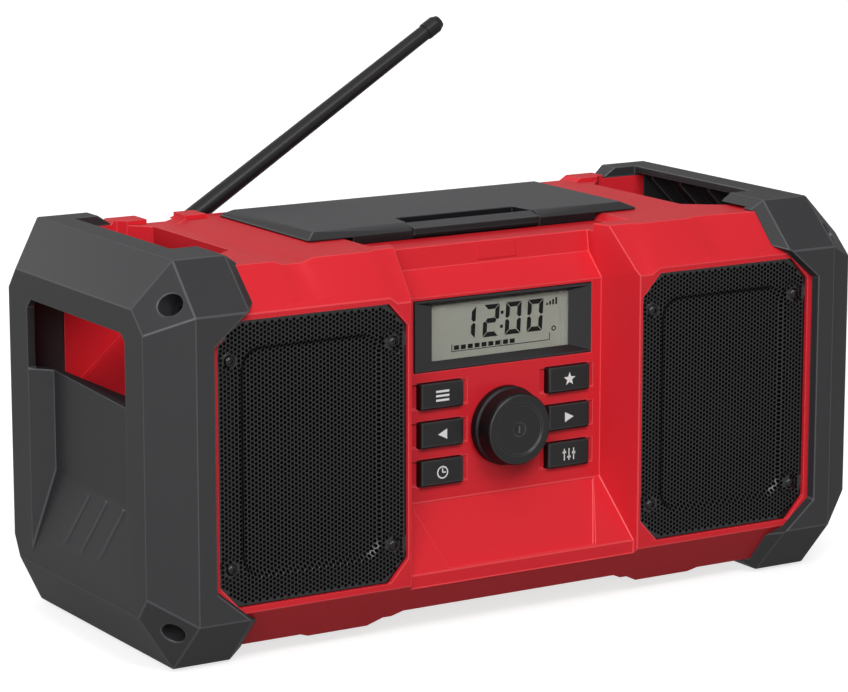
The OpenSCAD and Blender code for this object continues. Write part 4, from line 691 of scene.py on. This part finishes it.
def makeDisplayMarks():
    low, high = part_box("display_module")
    thickness = displayMarks["thickness"] * mm
    y = low.y - thickness
    builder = bmesh.new()

    def mark(outline, x=0.0, z=0.0, slant=0.0):
        shifted = [(x + u + slant * v, z + v) for u, v in outline]
        plate(builder, [(u * mm, v * mm) for u, v in shifted], y, thickness)

    slant = displayMarks["slant"]
    for place, digit in zip(displayMarks["digitsAt"], displayMarks["digits"]):
        for kind in litBars[digit]:
            mark(barOutline(kind), place, displayMarks["digitMiddle"], slant)
    dot = displayMarks["colonDot"]
    for z in displayMarks["colonDots"]:
        mark(bar(0, 0, dot, dot), displayMarks["colonAt"] + slant * z, displayMarks["digitMiddle"] + z)
    # tuning scale: a base line with upturned ends, filled squares and a pointer
    middle = displayMarks["scaleMiddle"]
    lineZ = displayMarks["scaleZ"]
    endHeight = displayMarks["scaleEnd"][1]
    pointerHeight = displayMarks["pointer"][1]
    mark(bar(middle, lineZ, *displayMarks["scaleLine"]))
    for x in displayMarks["scaleEndsAt"]:
        mark(bar(x, lineZ + endHeight / 2, *displayMarks["scaleEnd"]))
    for first, count in displayMarks["squaresFrom"]:
        for i in range(count):
            x = first + i * displayMarks["squarePitch"]
            mark(bar(x, lineZ + displayMarks["squareRise"], *displayMarks["square"]))
    mark(bar(middle, lineZ + pointerHeight / 2, *displayMarks["pointer"]))
    # reception bars at the upper right, and a small afternoon mark below
    left, foot = displayMarks["receptionAt"]
    for i in range(displayMarks["receptionBars"]):
        x = left + i * displayMarks["receptionPitch"]
        height = displayMarks["receptionLow"] + displayMarks["receptionStep"] * i
        mark(bar(x, foot + height / 2, displayMarks["receptionWidth"], height))
    x, z = displayMarks["dotAt"]
    inner, outer = displayMarks["dotRadii"]
    ring(builder, x * mm, z * mm, inner * mm, outer * mm, y, thickness, steps=24)
    marks = meshObject("displayMarks", builder, "printedBlack", "radio")


makeDisplayMarks()
print("display marked")


# mm, around the middle of a button's face
buttonMarks = {
    "thickness": 0.12,
    "rise": 0.02,               # above the face
    "modeBar": (7.6, 1.1),
    "modeBarsAt": (2.2, 0, -2.2),
    "arrow": 2.6,               # from its middle to its tip
    "clockRing": (2.5, 3.2),
    "clockHands": ((0, 1.0, 0.7, 2.0), (0.9, 0.0, 1.8, 0.7)),   # middle, width and height of each
    "star": 3.6,
    "starPoints": 5,
    "starWaist": 0.42,          # inner corners, as a share of the outer ones
    "slider": (0.6, 6.0),
    "sliderGrip": (2.0, 1.1),
    "sliders": ((-2.8, 1.2), (0, -1.4), (2.8, 0.6)),    # each one's x, and the height of its grip
}


def starOutline():
    radius, points = buttonMarks["star"], buttonMarks["starPoints"]
    outline = []
    for i in range(2 * points):
        r = radius if i % 2 == 0 else radius * buttonMarks["starWaist"]
        angle = math.pi / 2 + math.pi * i / points
        outline.append((r * math.cos(angle), r * math.sin(angle)))
    return outline


def markButton(button, shapes, rings=()):
    low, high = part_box(button)
    middleX = (high.x + low.x) / 2
    middleZ = (high.z + low.z) / 2
    y = low.y - buttonMarks["rise"] * mm
    depth = buttonMarks["thickness"] * mm
    builder = bmesh.new()
    for outline in shapes:
        plate(builder, scaled(outline, middleX, middleZ), y, depth)
    for inner, outer in rings:
        ring(builder, middleX, middleZ, inner * mm, outer * mm, y, depth)
    name = button.replace("_button", "").title().replace("_", "")
    mark = meshObject("mark" + name, builder, "printedWhite", button)


arrow = buttonMarks["arrow"]
sliders = buttonMarks["sliders"]
markButton("mode_button", [bar(0, v, *buttonMarks["modeBar"]) for v in buttonMarks["modeBarsAt"]])
markButton("seek_down_button", [[(arrow, -arrow), (arrow, arrow), (-arrow, 0)]])
markButton("seek_up_button", [[(-arrow, -arrow), (arrow, 0), (-arrow, arrow)]])
markButton("clock_button", [bar(*hand) for hand in buttonMarks["clockHands"]], [buttonMarks["clockRing"]])
markButton("preset_button", [starOutline()])
markButton("equaliser_button",
           [bar(u, 0, *buttonMarks["slider"]) for u, v in sliders]
           + [bar(u, v, *buttonMarks["sliderGrip"]) for u, v in sliders])


knobMark = {
    "sunk": 1.2,                # behind the knob's foremost point
    "thickness": 0.16,
    "ring": (3.4, 4.0),
    "bar": (0.7, 3.6),
}


def markKnob():
    low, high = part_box("knob")
    middle = (low.z + high.z) / 2
    y = low.y + knobMark["sunk"] * mm
    depth = knobMark["thickness"] * mm
    inner, outer = knobMark["ring"]
    builder = bmesh.new()
    ring(builder, 0, middle, inner * mm, outer * mm, y, depth, steps=48)
    plate(builder, scaled(bar(0, 0, *knobMark["bar"]), 0, middle), y, depth)
    mark = meshObject("powerMark", builder, "engravedBlack", "knob")


markKnob()
print("buttons and knob marked")


# the bare plate on the brow over the display, in mm
browPlate = {
    "x": (-8.5, 14.5),
    "z": (179.4, 187.2),
    "surfaceY": (-55.6, -53.9),     # of the brow at surfaceZ
    "surfaceZ": (177.7, 188.5),
    "proud": 0.45,
    "chamfer": 0.4,
    "buried": 0.2,                  # part of its edge that lies inside the housing
}


def makeBrowPlate():
    y0, y1 = browPlate["surfaceY"]
    z0, z1 = browPlate["surfaceZ"]
    slope = (y1 - y0) / (z1 - z0)
    builder = bmesh.new()
    loops = []
    chamfer = browPlate["chamfer"]
    levels = ((0, -browPlate["buried"]), (0, browPlate["proud"] - chamfer / 2), (chamfer, browPlate["proud"]))
    for inset, proud in levels:
        xs = (browPlate["x"][0] + inset, browPlate["x"][1] - inset)
        zs = (browPlate["z"][0] + inset, browPlate["z"][1] - inset)
        corners = ((xs[0], zs[0]), (xs[1], zs[0]), (xs[1], zs[1]), (xs[0], zs[1]))
        points = [(x, y0 + slope * (z - z0) - proud, z) for x, z in corners]
        loops.append([builder.verts.new(Vector(point) * mm) for point in points])
    builder.faces.new(list(reversed(loops[0])))
    builder.faces.new(loops[2])
    for lower, upper in ((loops[0], loops[1]), (loops[1], loops[2])):
        for i in range(4):
            j = (i + 1) % 4
            builder.faces.new((lower[i], lower[j], upper[j], upper[i]))
    made = meshObject("browPlate", builder, "redShell", "radio")


makeBrowPlate()
print("brow plate made")


# lengths in metres, tones from black 0 to white 1
studio = {
    "floorSize": 16.0,
    "floorDrop": 0.0002,    # below the feet
    "floorRough": 0.9,
    "floorTone": 0.5,
    "glowNear": 0.72,       # with the lamps' light on the floor it comes to about white
    "glowFar": 0.94,
    "nearFar": (1.2, 3.0),  # the floor glows more where the lamps no longer reach
    "bounceTone": 0.12,     # colour of the floor in the light that it throws back
    "backdrop": 0.99,
    "worldStrength": 0.04,
    "aim": (0, 0, 0.1),     # where all the lamps point
}


def seenRays(tree):
    # rays that show the surroundings, directly or in metal and glass
    path = tree.nodes.new("ShaderNodeLightPath")
    through = mathNode(tree, "MAXIMUM", path.outputs["Is Glossy Ray"], path.outputs["Is Transmission Ray"])
    return mathNode(tree, "MAXIMUM", path.outputs["Is Camera Ray"], through)


def buildFloor():
    builder = bmesh.new()
    bmesh.ops.create_grid(builder, x_segments=1, y_segments=1, size=studio["floorSize"] / 2)
    mesh = bpy.data.meshes.new("studioFloor")
    builder.to_mesh(mesh)
    builder.free()
    floor = bpy.data.objects.new("studioFloor", mesh)
    floor.location.z = -studio["floorDrop"]
    scene.collection.objects.link(floor)
    material = bpy.data.materials.new("paleFloor")
    material.use_nodes = True
    tree = material.node_tree
    shader = tree.nodes["Principled BSDF"]
    shader.inputs["Roughness"].default_value = studio["floorRough"]
    # the floor looks pale to the camera, and throws back less light than it shows
    seen = seenRays(tree)
    tint = tree.nodes.new("ShaderNodeMix")
    tint.data_type = "RGBA"
    tint.inputs["A"].default_value = (studio["bounceTone"],) * 3 + (1,)
    tint.inputs["B"].default_value = (studio["floorTone"],) * 3 + (1,)
    tree.links.new(seen, tint.inputs["Factor"])
    tree.links.new(tint.outputs["Result"], shader.inputs["Base Color"])
    shader.inputs["Emission Color"].default_value = (1, 1, 1, 1)
    place = tree.nodes.new("ShaderNodeTexCoord")
    away = tree.nodes.new("ShaderNodeVectorMath")
    away.operation = "LENGTH"
    tree.links.new(place.outputs["Object"], away.inputs[0])
    glow = tree.nodes.new("ShaderNodeMapRange")
    glow.inputs["From Min"].default_value, glow.inputs["From Max"].default_value = studio["nearFar"]
    glow.inputs["To Min"].default_value = studio["glowNear"]
    glow.inputs["To Max"].default_value = studio["glowFar"]
    tree.links.new(away.outputs["Value"], glow.inputs["Value"])
    strength = mathNode(tree, "MULTIPLY", seen, glow.outputs["Result"])
    tree.links.new(strength, shader.inputs["Emission Strength"])
    mesh.materials.append(material)


# places and sizes in metres, power in watts
lamps = {
    "overhead": {"place": (-0.5, -0.4, 2.2), "size": (1.8, 1.8), "power": 10},
    "frontHigh": {"place": (-0.3, -1.9, 1.9), "size": (1.2, 1.0), "power": 32},
    "frontLeft": {"place": (-1.7, -1.9, 1.3), "size": (1.2, 1.4), "power": 35},
    "leftLow": {"place": (-2.4, -0.9, 0.6), "size": (1.0, 1.0), "power": 6},
    "behind": {"place": (0.4, 1.8, 1.4), "size": (2.0, 1.0), "power": 9},
    "rearLeft": {"place": (-1.0, 2.0, 0.7), "size": (1.4, 1.0), "power": 14},
}


def buildLight():
    target = Vector(studio["aim"])
    for name, lamp in lamps.items():
        light = bpy.data.lights.new(name, "AREA")
        light.shape = "RECTANGLE"
        light.size, light.size_y = lamp["size"]
        light.energy = lamp["power"]
        obj = bpy.data.objects.new(name, light)
        obj.location = lamp["place"]
        aim = target - obj.location
        obj.rotation_euler = aim.to_track_quat("-Z", "Y").to_euler()
        obj.visible_camera = False
        scene.collection.objects.link(obj)
    world = bpy.data.worlds.new("studioWorld")
    world.use_nodes = True
    scene.world = world
    tree = world.node_tree
    back = tree.nodes["Background"]
    back.inputs["Color"].default_value = (1, 1, 1, 1)
    span = tree.nodes.new("ShaderNodeMapRange")
    span.inputs["To Min"].default_value = studio["worldStrength"]
    span.inputs["To Max"].default_value = studio["backdrop"]
    tree.links.new(seenRays(tree), span.inputs["Value"])
    tree.links.new(span.outputs["Result"], back.inputs["Strength"])
    scene.view_settings.view_transform = "Standard"


buildFloor()
buildLight()
print("floor and light ready")
